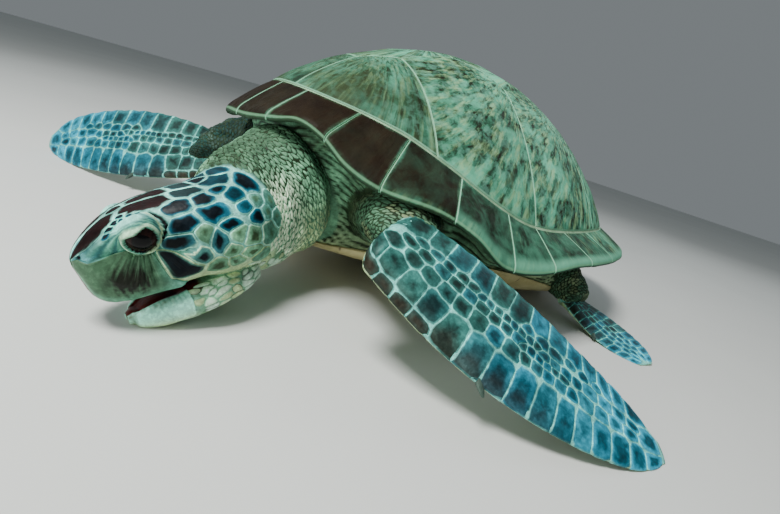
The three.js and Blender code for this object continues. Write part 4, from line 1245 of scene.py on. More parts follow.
HIND_ROWS = [
    (0.75, 0.28, 0.055, [0.05, 0.15, 0.25, 0.35, 0.45, 0.55, 0.65, 0.75, 0.85, 0.94]),
    (0.36, 0.14, 0.045, [0.0, 0.09, 0.18, 0.27, 0.36, 0.45, 0.54, 0.63, 0.72, 0.81, 0.9]),
    (0.05, 0.12, 0.042, [0.04, 0.12, 0.2, 0.28, 0.36, 0.44, 0.52, 0.6, 0.68, 0.76, 0.85]),
    (-0.27, 0.14, 0.045, [0.0, 0.09, 0.18, 0.27, 0.36, 0.45, 0.54, 0.63, 0.72, 0.81, 0.9]),
    (-0.70, 0.28, 0.055, [0.05, 0.15, 0.25, 0.35, 0.45, 0.55, 0.65, 0.75, 0.85, 0.94]),
]


def blade_scales(limb, grid, t, rows, face, atlas, seed):
    """Seeds row by row on one face of the blade; the chart is millimetres along and across."""
    source = np.random.default_rng(seed)
    length = np.linalg.norm(np.array(limb["tip"], float) - limb["root"])
    wide = np.mean(limb["chords"][1:-2]) / 2
    table = np.array([(along, across, half_along, half_across)
                      for across, half_across, half_along, places in rows for along in places])
    centres = table[:, :2] * [length, wide]
    centres += source.uniform(-0.1, 0.1, centres.shape) * table[:, 2:] * [length, wide]
    sizes = table[:, 2:] * [length, wide]
    up = outer_normals(grid)
    cols = grid.shape[1]
    first = int(np.searchsorted(t, 1e-9) - 1)

    def surface(chart):
        """Row by distance along; column by the angle whose cosine is the share across."""
        along = chart[..., 0] / length
        row = np.where(along > 0, first + along * (len(t) - 1 - first), first + chart[..., 0] / 22 * first)
        c = np.clip(chart[..., 1] / wide, -1.25, 1.25)
        turn = np.arccos(np.clip(c, -1, 1)) - np.maximum(c - 1, 0) * 1.6 + np.maximum(-1 - c, 0) * 1.6
        row, col = np.clip(row, 0, len(t) - 1.01), (face * turn / (2 * np.pi) * cols) % cols
        return on_skin(grid, up, row, col)

    reach = outlines(centres, sizes, np.zeros(len(centres)), 20, 0.7, 1.7)
    border = np.maximum(1.02 * wide - abs(centres[:, 1]), 3.0)
    rays = full_turn(20)
    forward = np.cos(rays)[None]
    outward_rays = np.sin(rays)[None] * np.sign(centres[:, 1:])
    limit = np.where(outward_rays > 0.05, border[:, None] / np.maximum(outward_rays, 0.05), 1e6)
    reach = np.minimum(reach, limit)
    tip_room = np.maximum(0.985 * length - centres[:, :1], 4) / np.maximum(forward, 0.05)
    reach = np.where(forward > 0.05, np.minimum(reach, tip_room), reach)
    point, _ = surface(centres)
    kept = (point @ TURN.T + SHIFT)[:, 2] > 1.5
    shade = source.uniform(0.6, 1.4, (len(centres), 1))
    bluish = ease(0.1, 0.8, centres[:, 0] / length + source.uniform(-0.25, 0.25, len(centres)))
    dark = mixed(DEEP_GREEN, TEAL * 0.9, bluish) * shade
    mid = mixed(SEA_GREEN, DEEP_BLUE * 1.5, bluish) * (0.6 + 0.5 * shade)
    mid = mid * (1 + 0.7 * ease(0.55, 1.0, centres[:, :1] / length))
    if face < 0:
        dark, mid = (mixed(colour, CREAM * 0.7, 0.82) for colour in (dark, mid))
    fields = {"dark": dark, "mid": mid, "pale": np.broadcast_to(AQUA, dark.shape),
              "dark_share": source.uniform(0.35, 0.75, len(centres)),
              "mid_share": np.full(len(centres), 0.975)}
    fields = {name: value[kept] for name, value in fields.items()}
    shape = plates(centres[kept], reach[kept], surface, [0.4, 0.7, 0.88, 0.96, 1.0],
                   [1.15, 1.12, 1.0, 0.7, 0.15], fields)
    fields = shape["fields"]
    along, lead = fields["chart"].T / np.array([[length], [wide]])
    brown = ease(0.55, 1.0, lead) * fade(0.35, 0.75, along) * (face > 0) * ease(1.0, 0.9, fields["rim"])
    for name in ("dark", "mid"):
        fields[name] = mixed(fields[name], BROWN, 0.8 * brown)
    return painted(shape, atlas, ((-30, -1.3 * wide), (length + 10, 1.3 * wide)))

# %% [markdown]
# ## Shared finishes
# Wet horn and wet skin share two effects: cloudy blotches that break up a colour, and a fine
# pitted grain that breaks up the highlight. Each is one node group with its own scale and
# strength, placed in every material that needs it.

# %% Node helpers
def node(tree, kind, inputs=None, **settings):
    """A new shader node with its settings and the values or links of its sockets."""
    made = tree.nodes.new("ShaderNode" + kind)
    for key, value in settings.items():
        setattr(made, key, value)
    for key, value in (inputs or {}).items():
        if isinstance(value, bpy.types.NodeSocket):
            tree.links.new(value, made.inputs[key])
        else:
            made.inputs[key].default_value = value
    return made


def group(name, sockets_in, sockets_out):
    """An empty node group with named inputs and outputs."""
    tree = bpy.data.node_groups.new(name, "ShaderNodeTree")
    for label, kind, value in sockets_in:
        socket = tree.interface.new_socket(label, in_out="INPUT", socket_type=kind)
        if value is not None:
            socket.default_value = value
    for label, kind in sockets_out:
        tree.interface.new_socket(label, in_out="OUTPUT", socket_type=kind)
    return tree, tree.nodes.new("NodeGroupInput"), tree.nodes.new("NodeGroupOutput")


def maths(tree, operation, *values, kind="Math", **settings):
    """One operation on numbers or vectors; each value may be a link."""
    made = node(tree, kind, dict(enumerate(values)), operation=operation, **settings)
    return made.outputs[0]


def blend(tree, a, b, factor, mode="MIX"):
    """Two colours mixed; colours may be values or links."""
    a, b = (value if isinstance(value, bpy.types.NodeSocket) else (*value, 1.0) for value in (a, b))
    return node(tree, "Mix", {0: factor, 6: a, 7: b}, data_type="RGBA", blend_type=mode).outputs[2]


def dimmed(tree, colour, strength):
    """A colour times a grey of this strength."""
    grey = node(tree, "CombineColor", dict(enumerate([strength] * 3))).outputs[0]
    return blend(tree, colour, grey, 1.0, "MULTIPLY")


def remap(tree, value, low, high, to_low=0.0, to_high=1.0):
    """A value's range moved to another, without going outside it."""
    ends = {"From Min": low, "From Max": high, "To Min": to_low, "To Max": to_high}
    made = node(tree, "MapRange", {"Value": value, **ends}, interpolation_type="SMOOTHSTEP")
    return made.outputs["Result"]


# %% Blotches and grain
FLOAT, VECTOR = "NodeSocketFloat", "NodeSocketVector"
BLOTCHES, entry, leave = group(
    "blotches", [("Vector", VECTOR, None), ("Scale", FLOAT, 8.0), ("Low", FLOAT, 0.4), ("High", FLOAT, 0.6)],
    [("Mask", FLOAT)])
cloud = node(BLOTCHES, "TexNoise",
             {"Detail": 6.0, "Roughness": 0.62, "Distortion": 0.4,
              "Vector": entry.outputs["Vector"], "Scale": entry.outputs["Scale"]})
spread_out = node(BLOTCHES, "MapRange",
                  {"Value": cloud.outputs["Fac"],
                   "From Min": entry.outputs["Low"], "From Max": entry.outputs["High"]})
BLOTCHES.links.new(spread_out.outputs["Result"], leave.inputs["Mask"])

GRAIN, entry, leave = group(
    "grain", [("Vector", VECTOR, None), ("Scale", FLOAT, 300.0), ("Depth", FLOAT, 0.2)], [("Normal", VECTOR)])
spot = {"Vector": entry.outputs["Vector"], "Scale": entry.outputs["Scale"]}
pits = node(GRAIN, "TexVoronoi", spot, feature="SMOOTH_F1")
dust = node(GRAIN, "TexNoise", {**spot, "Detail": 4.0})
both = maths(GRAIN, "ADD", pits.outputs["Distance"], dust.outputs["Fac"])
bumped = node(GRAIN, "Bump",
              {"Height": both, "Strength": entry.outputs["Depth"], "Distance": 0.0012})
GRAIN.links.new(bumped.outputs["Normal"], leave.inputs["Normal"])


def blotches(tree, where, scale, low, high):
    """The shared blotches at a scale, as a mask that runs from low to high in the noise."""
    inputs = {"Vector": where, "Scale": scale, "Low": low, "High": high}
    return node(tree, "Group", inputs, node_tree=BLOTCHES).outputs["Mask"]


def grain(tree, where, scale, depth):
    """The shared grain at a scale and depth, as a normal."""
    inputs = {"Vector": where, "Scale": scale, "Depth": depth}
    return node(tree, "Group", inputs, node_tree=GRAIN).outputs["Normal"]


# %% [markdown]
# ## Materials
# Markings that follow an animal's own shapes come from attributes worked out with the mesh: the
# pigment of each skin point and scale, and for horn the distance from its seam and the
# direction in which it grew. Noise then breaks them up, and the Principled shader does the rest.

# %% Materials
def new_material(name, roughness, coat=0.0, subsurface=0.0, specular=0.1, coat_roughness=0.25):
    """A Principled material with its constants on the shader's own sockets."""
    material = bpy.data.materials.new(name)
    material.use_nodes = True
    tree = material.node_tree
    shader = tree.nodes["Principled BSDF"]
    constants = {"Roughness": roughness, "Coat Weight": coat, "Coat Roughness": coat_roughness,
                 "Specular IOR Level": specular, "Subsurface Weight": subsurface, "Subsurface Scale": 0.004}
    for label, value in constants.items():
        shader.inputs[label].default_value = value
    return material, tree, shader, node(tree, "TexCoord").outputs["Object"]


def finish_material(tree, shader, colour, normal=None, roughness=None):
    """Links the worked-out colour, normal and roughness to the shader."""
    for label, value in (("Base Color", colour), ("Normal", normal), ("Roughness", roughness)):
        if value is not None:
            tree.links.new(value, shader.inputs[label])


def attribute(tree, name, output="Fac"):
    """A mesh attribute's value, or its colour."""
    return node(tree, "Attribute", attribute_name=name).outputs[output]


def pigment_material(name, roughness, grain_scale, grain_depth, low, high, coat=0.0, subsurface=0.0):
    """Pigment from the mesh, lightened and darkened by two sizes of blotch, over fine grain."""
    material, tree, shader, where = new_material(name, roughness, coat, subsurface)
    wide = blotches(tree, where, 28.0, 0.35, 0.68)
    fine = blotches(tree, where, 170.0, 0.4, 0.66)
    dim, speck = remap(tree, wide, 0, 1, low, high), remap(tree, fine, 0, 1, 0.78, 1.16)
    colour = dimmed(tree, attribute(tree, "pigment", "Color"), maths(tree, "MULTIPLY", dim, speck))
    rough = remap(tree, fine, 0, 1, roughness - 0.08, roughness + 0.1)
    finish_material(tree, shader, colour, grain(tree, where, grain_scale, grain_depth), rough)
    return material


SKIN = pigment_material("turtle_skin", 0.55, 420.0, 0.35, 0.7, 1.12, subsurface=0.05)
SCALE = pigment_material("turtle_scale", 0.5, 260.0, 0.25, 0.55, 1.5, coat=0.02)
LOZENGE = pigment_material("turtle_neck_scale", 0.55, 500.0, 0.3, 0.7, 1.25)
BEAK = pigment_material("turtle_beak", 0.38, 240.0, 0.15, 0.7, 1.15, coat=0.12)


def scute_material():
    """Rays of brown and yellow over olive, dark where the scute's tone is high and brightened where it is
    low, a painted highlight; pale at the seam.
    """
    material, tree, shader, where = new_material("turtle_scute", 0.7, specular=0.05)
    direction = attribute(tree, "growth", "Color")
    far, edge, across, tone = (attribute(tree, name) for name in ("far", "edge", "across", "tone"))

    def vector(operation, *values):
        """One operation on vectors."""
        return maths(tree, operation, *values, kind="VectorMath")

    def run(value, *ends):
        """A value's range moved, in this material's tree."""
        return remap(tree, value, *ends)

    def scaled(first, *others):
        """A mask made weaker by numbers or other masks."""
        for other in others:
            first = maths(tree, "MULTIPLY", first, other, use_clamp=True)
        return first

    # the rays: noise drawn out along the way each scute grew
    outwards = node(tree, "CombineXYZ", {"X": far, "Y": far, "Z": far}).outputs[0]
    turned = vector("MULTIPLY", direction, (30.0, 30.0, 30.0))
    spun = vector("MULTIPLY_ADD", outwards, (5.0, 4.6, 5.4), turned)
    brown = blotches(tree, spun, 1.0, 0.47, 0.60)
    yellow = blotches(tree, vector("ADD", spun, (31.0, 7.0, 3.0)), 1.3, 0.47, 0.64)
    spots = blotches(tree, where, 11.0, 0.4, 0.6)
    flecks = blotches(tree, where, 60.0, 0.47, 0.6)
    jagged = blotches(tree, where, 24.0, 0.2, 0.8)
    forward = run(node(tree, "SeparateXYZ", {0: where}).outputs["Y"], 0.0, -0.25)

    # the dark field of the front marginals, with an uneven shore short of seam and rim
    inset = maths(tree, "MULTIPLY_ADD", jagged, -9.0, edge)
    shore = maths(tree, "MULTIPLY_ADD", jagged, 0.12, maths(tree, "MULTIPLY_ADD", tone, -0.26, across))
    weak = run(tone, 0.0, 1.0, 0.75, -0.6)
    stain = blotches(tree, where, 16.0, weak, maths(tree, "ADD", weak, 0.16))
    patch = scaled(run(inset, -6.0, 2.0), run(shore, 0.90, 0.76))
    dark = scaled(stain, patch, run(tone, 0.02, 0.2, 0.0, 0.97))
    green = blend(tree, (0.012, 0.030, 0.018), (0.055, 0.190, 0.120), blotches(tree, where, 26.0, 0.40, 0.64))
    deep = blend(tree, (0.006, 0.0022, 0.0018), (0.021, 0.013, 0.007), jagged)
    deep = blend(tree, deep, green, run(tone, 0.2, 0.95, 1.0, 0.0))

    # the rim: bare green inside a thin lip
    bare = scaled(run(across, 0.74, 0.95), run(tone, 0.3, 0.7, 0.8, 0.0))
    lip = scaled(run(across, 0.975, 1.0), run(across, 1.05, 1.01), run(tone, 0.3, 1.0, 0.85, 0.5))

    colour = blend(tree, (0.020, 0.075, 0.042), (0.110, 0.430, 0.275), spots)
    for tint, mask in (((0.33, 0.52, 0.25), scaled(yellow, 0.6)),
                       ((0.012, 0.014, 0.008), scaled(brown, run(spots, 0, 1, 1.0, 0.75))),
                       ((0.17, 0.46, 0.34), scaled(flecks, 0.3)),
                       ((0.050, 0.080, 0.034), scaled(forward, run(spots, 0, 1, 0.8, 0.4)))):
        colour = blend(tree, colour, tint, mask)
    # a high tone darkens a scute; a low tone brightens it, a painted highlight
    colour = dimmed(tree, colour, run(tone, 0.08, 0.3, 1.2, 0.55))

    # over the rays: the dark field, the rim, the shade under it, the yellow underside, the seam
    for tint, mask in ((deep, dark), ((0.15, 0.46, 0.30), bare), ((0.17, 0.40, 0.23), lip),
                       ((0.024, 0.050, 0.028), scaled(run(across, 1.02, 1.05), 0.92)),
                       ((0.24, 0.34, 0.15), run(across, 1.55, 1.85)),
                       ((0.27, 0.56, 0.38), scaled(run(edge, 1.5, 0.3), 0.85))):
        colour = blend(tree, colour, tint, mask)
    scratch = node(tree, "Bump", {"Height": brown, "Strength": 0.25, "Distance": 0.0008,
                                            "Normal": grain(tree, where, 150.0, 0.22)})
    finish_material(tree, shader, colour, scratch.outputs["Normal"], run(flecks, 0, 1, 0.5, 0.7))
    return material


def plain_horn(name, deep, pale, roughness, scale, coat=0.0, seam=None):
    """Two tones in clouds, with an optional darker seam, over fine grain."""
    material, tree, shader, where = new_material(name, roughness, coat)
    colour = blend(tree, deep, pale, blotches(tree, where, scale, 0.35, 0.65))
    if seam is not None:
        colour = blend(tree, seam, colour, remap(tree, attribute(tree, "edge"), 0.8, 3.2))
    finish_material(tree, shader, colour, grain(tree, where, 180.0, 0.2))
    return material


SCUTE = scute_material()
BONE = plain_horn("turtle_seam_bone", (0.16, 0.28, 0.17), (0.30, 0.46, 0.30), 0.6, 30.0)
PLASTRON = plain_horn("turtle_plastron", (0.36, 0.30, 0.13), (0.56, 0.50, 0.26), 0.45, 9.0, 0.15,
                      (0.16, 0.12, 0.06))
CLAW = plain_horn("turtle_claw", (0.02, 0.035, 0.03), (0.06, 0.10, 0.08), 0.35, 90.0, 0.2)


def eye_material():
    """A near-black pupil in a very dark red-brown iris, thinly ringed, under a clear wet coat."""
    material, tree, shader, where = new_material("turtle_eye", 0.16, coat=0.05, coat_roughness=0.05)
    ring = attribute(tree, "ring")
    iris = blend(tree, (0.006, 0.003, 0.003), (0.026, 0.010, 0.008), blotches(tree, where, 260.0, 0.35, 0.7))
    colour = blend(tree, (0.002, 0.002, 0.0025), iris, remap(tree, ring, 24.0, 30.0))
    colour = blend(tree, colour, (0.010, 0.014, 0.013), remap(tree, ring, 50.0, 58.0))
    finish_material(tree, shader, colour)
    return material


EYE = eye_material()
print("materials", len(bpy.data.materials))

# %% [markdown]
# ## Camera, floor and light
# The camera stands low in front of the turtle's left side with a wide lens, so the head looms
# and the shell rises behind it. The floor is plain and pale, a soft light hangs over the head
# like daylight through water, and dimmer ones fill in from the other sides.

# %% Camera and lights
def aimed(name, data, place_at, aim, roll_deg=0.0):
    """An object that looks at the aim, turned about its own line of sight by the roll."""
    back = unit(np.array(place_at) - aim)
    level = unit(np.cross([0, 0, 1.0], back))
    c, s = np.cos(np.radians(roll_deg)), np.sin(np.radians(roll_deg))
    right = level * c + np.cross(back, level) * s
    columns = np.array([right, np.cross(back, right), back, place_at]).T
    made = put(name, data)
    made.matrix_world = Matrix([list(row) for row in columns] + [[0, 0, 0, 1]])
    return made


lens = bpy.data.cameras.new("view")
lens.sensor_width = 36.0
lens.lens = 19.75
lens.clip_start = 0.02
camera = aimed("view", lens, (0.7595, -0.4228, 0.3266), (-0.0583, 0.0561, 0.0075), 16.775)
bpy.context.scene.camera = camera

LIGHTS = [  # name, place, aim, size, power, colour
    ("daylight", (0.45, -1.2, 2.2), (0.1, -0.1, 0.2), 0.7, 92, (1.0, 0.99, 0.96)),
    ("bounce", (0.85, -1.9, 0.4), (0.1, -0.4, 0.15), 0.9, 14, (0.96, 1.0, 0.9)),
    ("fill", (-1.6, -1.6, 1.6), (0, 0, 0.2), 2.0, 10, (0.9, 0.97, 1.0)),
    ("rear", (-0.4, 2.2, 1.9), (0, 0.1, 0.2), 1.8, 14, (0.92, 0.98, 1.0)),
]
for name, place_at, aim, size, power, tint in LIGHTS:
    panel = bpy.data.lights.new(name, "AREA")
    panel.size, panel.energy, panel.color = size, power, tint
    aimed(name, panel, place_at, aim)
world = bpy.data.worlds.new("studio")
world.use_nodes = True
background = world.node_tree.nodes["Background"]
background.inputs["Color"].default_value = (0.78, 0.86, 0.90, 1)
background.inputs["Strength"].default_value = 0.24
bpy.context.scene.world = world

# %% Floor
ground = bpy.data.meshes.new("floor")
ground.from_pydata([(-9, -9, 0), (9, -9, 0), (9, 9, 0), (-9, 9, 0)], [], [(0, 1, 2, 3)])
floor = put("floor", ground)
floor_material, tree, shader, where = new_material("floor_paint", 0.85)
wash = blotches(tree, where, 1.2, 0.2, 0.8)
finish_material(tree, shader, blend(tree, (0.60, 0.62, 0.60), (0.66, 0.68, 0.66), wash))
ground.materials.append(floor_material)

# %% [markdown]
# ## Making the shell
# The bone goes in first and each scute over it, so the frame's forty scutes keep their own
# pieces. The front marginals are almost wholly dark, and the tone fades towards the flanks.

# %% Shell pieces
def toned(shape, tone):
    """A scute with its own tone, told to every point: a high tone makes it dark, a low one brightens it as
    painted highlight.
    """
    shape["fields"]["tone"] = np.full(len(shape["points"]), float(tone))
    return shape


piece("carapace_bone", bone_shape(), BONE)
piece("scute_nuchal", toned(marginal_scute(-SEAMS[0], SEAMS[0]), 0.95), SCUTE, ["nuchal"])
MARGINAL_TONES = [1.0, 0.97, 0.9, 0.75, 0.5, 0.4, 0.36, 0.28, 0.2, 0.25, 0.2, 0.2]
# the low tones brighten these dome scutes as painted highlight
COSTAL_TONES = [0.24, 0.15, 0.1, 0.12]
COSTAL_OLDEST = np.array([[60, -300, 400], [90, -20, 440], [80, 140, 420], [50, 250, 380]], float)
VERTEBRAL_TONES = [0.3, 0.16, 0.1, 0.1, 0.15]
scutes = {"marginal": [marginal_scute(*pair) for pair in zip(SEAMS[:-1], SEAMS[1:])],
          "costal": [dome_scute(costal_plan(k), oldest) for k, oldest in enumerate(COSTAL_OLDEST)]}
for kind, tones in (("marginal", MARGINAL_TONES), ("costal", COSTAL_TONES)):
    for k, (scute, tone) in enumerate(zip(scutes[kind], tones), 1):
        for side, shape in (("left", toned(scute, tone)), ("right", mirrored(scute))):
            piece(f"scute_{kind}_{side}_{k}", shape, SCUTE, [f"{kind}_{side}_{k}"])
for k, tone in enumerate(VERTEBRAL_TONES):
    plan = vertebral_plan(k)
    shape = dome_scute(plan, np.array([0, plan[:, 1].max() - 25, 420.0]))
    piece(f"scute_vertebral_{k + 1}", toned(shape, tone), SCUTE, [f"vertebral_{k + 1}"])
piece("plastron_plates", toned(plastron_shape(), 0), PLASTRON, ["plastron"])

# %% [markdown]
# ## Pigment of the skin
# Bare skin shows in the gaps between scales and on the lids, jaw, limbs and flanks. Its colour
# is written for each grid before the grids are joined, from the same places and angles that
# shaped them, so that creases, lids and mouth are coloured exactly where they lie.

# %% Head and neck pigment
def head_pigment():
    """Mint between the scales, green lids with a pale band that is partly painted highlight, black crescent
    and nostrils, red palate, net-like neck.
    """
    front = fade(12, 30, BACK_MAP) * fade(60, 90, SIDE_MAP)

    def lid_ring(shift):
        """A thin line before the crescent, nearer to the eye by the shift."""
        path = [(back - shift, side + (66 - side) * shift / 60) for back, side in CRESCENT]
        return bell(path_distance(BACK_MAP, SIDE_MAP, path), 2.2)

    neck = mixed(OLIVE * 0.6, PALE_GREEN * 0.7, ease(50, 110, SIDE_MAP))
    return layered(
        SEAM * 0.9, (CREAM, ease(95, 135, SIDE_MAP)), (TEAL * 1.6, front * 0.7),
        (LID_GREEN * 1.8, lid_mark * 0.8), (TEAL * 0.7, lid_groove * 0.8), (LID_PALE, lid_band_highlight * 0.9),
        (CREAM * 0.8, 0.8 * lid_ring(6.5)), (TEAL * 0.7, 0.6 * lid_ring(12.0)),
        (BLACK, bell(crescent, 2.6, 4)), (BLACK, np.maximum(socket_mark, bell(nostril, 3.2, 4))),
        (FLESH_RED, ease(150, 160, SIDE_MAP) * fade(112, 122, BACK_MAP)), (neck, ease(196, 210, BACK_MAP)))


def jaw_pigment():
    """Cream with a bluish edge, red inside the mouth."""
    back, turn = np.meshgrid(JAW_ROWS, JAW_TURNS, indexing="ij")
    side = np.minimum(turn, 360 - turn)
    return layered(JAW_EDGE, (CREAM, ease(90, 150, side)), (PALE_GREEN * 0.9, ease(96, 108, back) * 0.85),
                   (FLESH_RED, fade(46, 60, side) * fade(112, 122, back)))


def plain_pigment(grid, base, other, size, seed):
    """Two colours in slow clouds."""
    return mixed(base, other, ease(-0.6, 0.6, ripple(grid, size, seed, 3)))


# %% [markdown]
# ## One skin
# The grids overlap like the parts of a clay model. A Boolean union trims what is inside and
# leaves one closed skin; the points it adds along each join take the colour of their
# neighbours, and a few rounds of averaging there turn the join into a soft fold.

# %% Grids into one skin
FINENESS = {  # a blade's rows and columns, its arm's rows and columns, and the arm's crease
    "front": (112, 72, 54, 92, 2.2),
    "hind": (60, 52, 30, 48, 1.2),
}
RIM_ROOM = 9.0


def tucked(grid):
    """Presses flesh down where it would stand above the rim of the shell, less and less outside it."""
    x, y = grid[..., 0], grid[..., 1]
    away = np.hypot(x, y - DOME_Y)
    _, reach, rim, _, _ = section(rim_angle(x, y))
    cap = rim - RIM_ROOM + 2.5 * np.maximum(away - reach - 4, 0) + 400 * ease(0.75, 0.6, away / reach)
    over = grid[..., 2] - cap
    down = np.where(over > -12, np.maximum(over, 0) + 3 * np.exp(-abs(over) / 8), 0)
    return grid - np.stack([0 * down, 0 * down, down], -1)


blade_grids, arm_grids = {}, {}
for k, (name, limb) in enumerate(LIMBS.items()):
    rows, cols, arm_rows, arm_cols, crease = FINENESS[name.split("_")[0]]
    blade_grids[name] = blade_grid(limb, rows, cols)
    arm = arm_grid(limb["arm"], limb["radii"], arm_rows, arm_cols, crease, 5 + k)
    arm_grids[name] = tucked(arm) if "front" in name else arm

TRUNK_GRID = trunk_grid()
flank_up = outer_normals(TRUNK_GRID, TRUNK_GRID.mean((0, 1)))
row_number = np.arange(len(TRUNK_GRID))[:, None] - 3
flank_rows = ease(-1, 6, row_number) * fade(0.6 * FLANK_ROWS, 0.72 * FLANK_ROWS, row_number)
down = travelled(TRUNK_GRID, 0)
pleats = abs(np.sin(np.pi * (down / 13.0 + 0.75 * ripple(TRUNK_GRID * [1, 1, 0.5], 230, 9, 4)))) ** 0.7
slow = ripple(TRUNK_GRID * [1, 1, 2.0], 60, 19, 2)
TRUNK_GRID = TRUNK_GRID + flank_up * (flank_rows * (3.2 * pleats + 0.8 * slow - 2.6))[..., None]
tail_grid = arm_grid(TAIL_STOPS, TAIL_RADII, 44, 44, 0.8, 17)


def blade_pigment(grid, t):
    """Mint seams above, cream below, a yellowish margin towards the tip."""
    turn = full_turn(grid.shape[1])[None] * np.ones((len(t), 1))
    margin = ease(0.86, 0.98, abs(np.cos(turn)))
    return layered(BLADE_MINT, (CREAM, ease(0.0, 0.3, -np.sin(turn)) * 0.7),
                   (YELLOW, margin * ease(0.55, 0.95, t[:, None]) * 0.7))


def trunk_pigment():
    """Dark in the pleats and pale on them, paler towards the belly."""
    pale = layered(PALE_GREEN * 0.9, (CREAM * 0.75, ease(0.3, 0.8, row_number / FLANK_ROWS)),
                   (OLIVE * 1.2, 0.55 * ease(-0.2, 0.5, ripple(TRUNK_GRID, 110, 29, 3))))
    return mixed(OLIVE * 0.3, pale, ease(0.35, 0.95, pleats + 0.15 * slow))


flesh = {"head_neck": tube(HEAD_GRID, {"pigment": head_pigment()}),
         "jaw": tube(JAW_GRID, {"pigment": jaw_pigment()}),
         "trunk": tube(TRUNK_GRID, {"pigment": trunk_pigment()}),
         "tail": tube(tail_grid, {"pigment": plain_pigment(tail_grid, SLATE, PALE_GREEN * 0.6, 30, 6)})}
for name, limb in LIMBS.items():
    grid, t = blade_grids[name]
    flesh["blade_" + name] = tube(grid, {"pigment": blade_pigment(grid, t)})
    arm = arm_grids[name]
    flesh["arm_" + name] = tube(arm, {"pigment": plain_pigment(arm, OLIVE * 0.4, OLIVE * 0.8, 40, 8)})


def union(shapes):
    """All the closed shapes as one, by one exact union after another."""
    objects = []
    for name, shape in shapes.items():
        shape["fields"]["known"] = np.ones(len(shape["points"]))
        objects.append(put(name, make_mesh(name, shape)))
    base = objects[0]
    for other in objects[1:]:
        cut = base.modifiers.new(other.name, "BOOLEAN")
        cut.operation, cut.solver, cut.object = "UNION", "MANIFOLD", other
        done = bpy.data.meshes.new_from_object(base.evaluated_get(bpy.context.evaluated_depsgraph_get()))
        base.modifiers.clear()
        base.data = done
        bpy.data.objects.remove(other)
    bpy.data.objects.remove(base)
    return done


def soften_joins(mesh, rounds=22):
    """Colours the new points from their neighbours and averages places near the joins."""
    count = len(mesh.vertices)
    ends = np.empty(2 * len(mesh.edges), np.int32)
    mesh.edges.foreach_get("vertices", ends)
    a, b = ends.reshape(-1, 2).T
    known, colour, co = np.empty(count), np.empty(4 * count), np.empty(3 * count)
    mesh.attributes["known"].data.foreach_get("value", known)
    mesh.attributes["pigment"].data.foreach_get("color", colour)
    mesh.vertices.foreach_get("co", co)
    colour, co = colour.reshape(-1, 4), co.reshape(-1, 3)

    def spread_from(values, weight):
        """The weighted sum of each point's neighbours, and the sum of their weights."""
        total, share = np.zeros_like(values), np.zeros(count)
        for here, there in ((a, b), (b, a)):
            np.add.at(total, here, values[there] * weight[there][:, None])
            np.add.at(share, here, weight[there])
        return total, share

    new = known < 0.999
    weight = (~new).astype(float)
    for _ in range(6):
        total, share = spread_from(colour, weight)
        fill = (weight == 0) & (share > 0)
        colour[fill] = total[fill] / share[fill][:, None]
        weight[fill] = 1.0
    near = new.astype(float)
    for _ in range(8):
        total, share = spread_from(near[:, None], np.ones(count))
        near = np.maximum(near, 0.9 * total[:, 0] / np.maximum(share, 1))
    for _ in range(rounds):
        total, share = spread_from(co, np.ones(count))
        co += (total / np.maximum(share, 1)[:, None] - co) * np.minimum(near * 1.2, 0.7)[:, None]
    colour[:, 3] = 1
    mesh.attributes["pigment"].data.foreach_set("color", colour.astype(np.float32).ravel())
    mesh.vertices.foreach_set("co", co.astype(np.float32).ravel())
    mesh.attributes.remove(mesh.attributes["known"])
    mesh.update()
    print("skin: points", count, "new", int(new.sum()), "faces", len(mesh.polygons))


skin_mesh = union(flesh)
soften_joins(skin_mesh)
skin_mesh.shade_smooth()
skin_mesh.materials.clear()
piece("skin", skin_mesh, SKIN,
      ["trunk", "neck", "head", "lower_jaw", "tail", "flipper_front_left", "flipper_front_right",
       "flipper_hind_left", "flipper_hind_right"])

# %% [markdown]
# ## Making the scales
# Each coat piece is one joined mesh of a few hundred plates. Its bake layout follows the chart it
# was grown on, each region of skin in its own part of the square.

# %% Coat pieces
JAW_UP = outer_normals(JAW_GRID)


def jaw_surface(chart):
    """The jaw's grid and normal by distance behind the snout and millimetres round from its top."""
    row = np.interp(chart[..., 0], JAW_ROWS, np.arange(len(JAW_ROWS)))
    col = (chart[..., 1] / NECK_MM % 360) / 360 * JAW_GRID.shape[1]
    return on_skin(JAW_GRID, JAW_UP, row, col)


def jaw_kept(point, centres):
    """Behind the lower beak, on the jaw's sides and underside."""
    return (side_of(centres) > 42) & (centres[:, 0] > 101) & (centres[:, 0] < 196)


piece("scales_head", head_scales(), SCALE)
NECK_ROUND = 360 * NECK_MM
neck_coat = lozenges(178, 345, 5.4, 11.5, NECK_ROUND, neck_surface, neck_kept, neck_pale, neck_dark,
                     41, (0.02, 0.35, 0.45, 0.17))
throat_coat = lozenges(176, 246, 17.0, 21.0, NECK_ROUND, neck_surface, throat_kept, throat_pale,
                       throat_dark, 43, (0.02, 0.53, 0.3, 0.07), gap=0.7)
jaw_coat = lozenges(100, 200, 18.0, 24.0, NECK_ROUND, jaw_surface, jaw_kept, throat_pale, throat_dark,
                    44, (0.02, 0.61, 0.3, 0.07), gap=0.7)
piece("scales_neck", joined([neck_coat, throat_coat, jaw_coat]), LOZENGE)
for k, (name, limb) in enumerate(LIMBS.items()):
    grid, t = blade_grids[name]
    rows = FRONT_ROWS if "front" in name else HIND_ROWS
    corner = 0.5 + 0.12 * k
    above = blade_scales(limb, grid, t, rows, 1, (corner, 0.02, 0.11, 0.3), 60 + k)
    below = blade_scales(limb, grid, t, rows, -1, (corner, 0.35, 0.11, 0.3), 70 + k)
    piece(f"scales_flipper_{name}", joined([above, below]), SCALE)


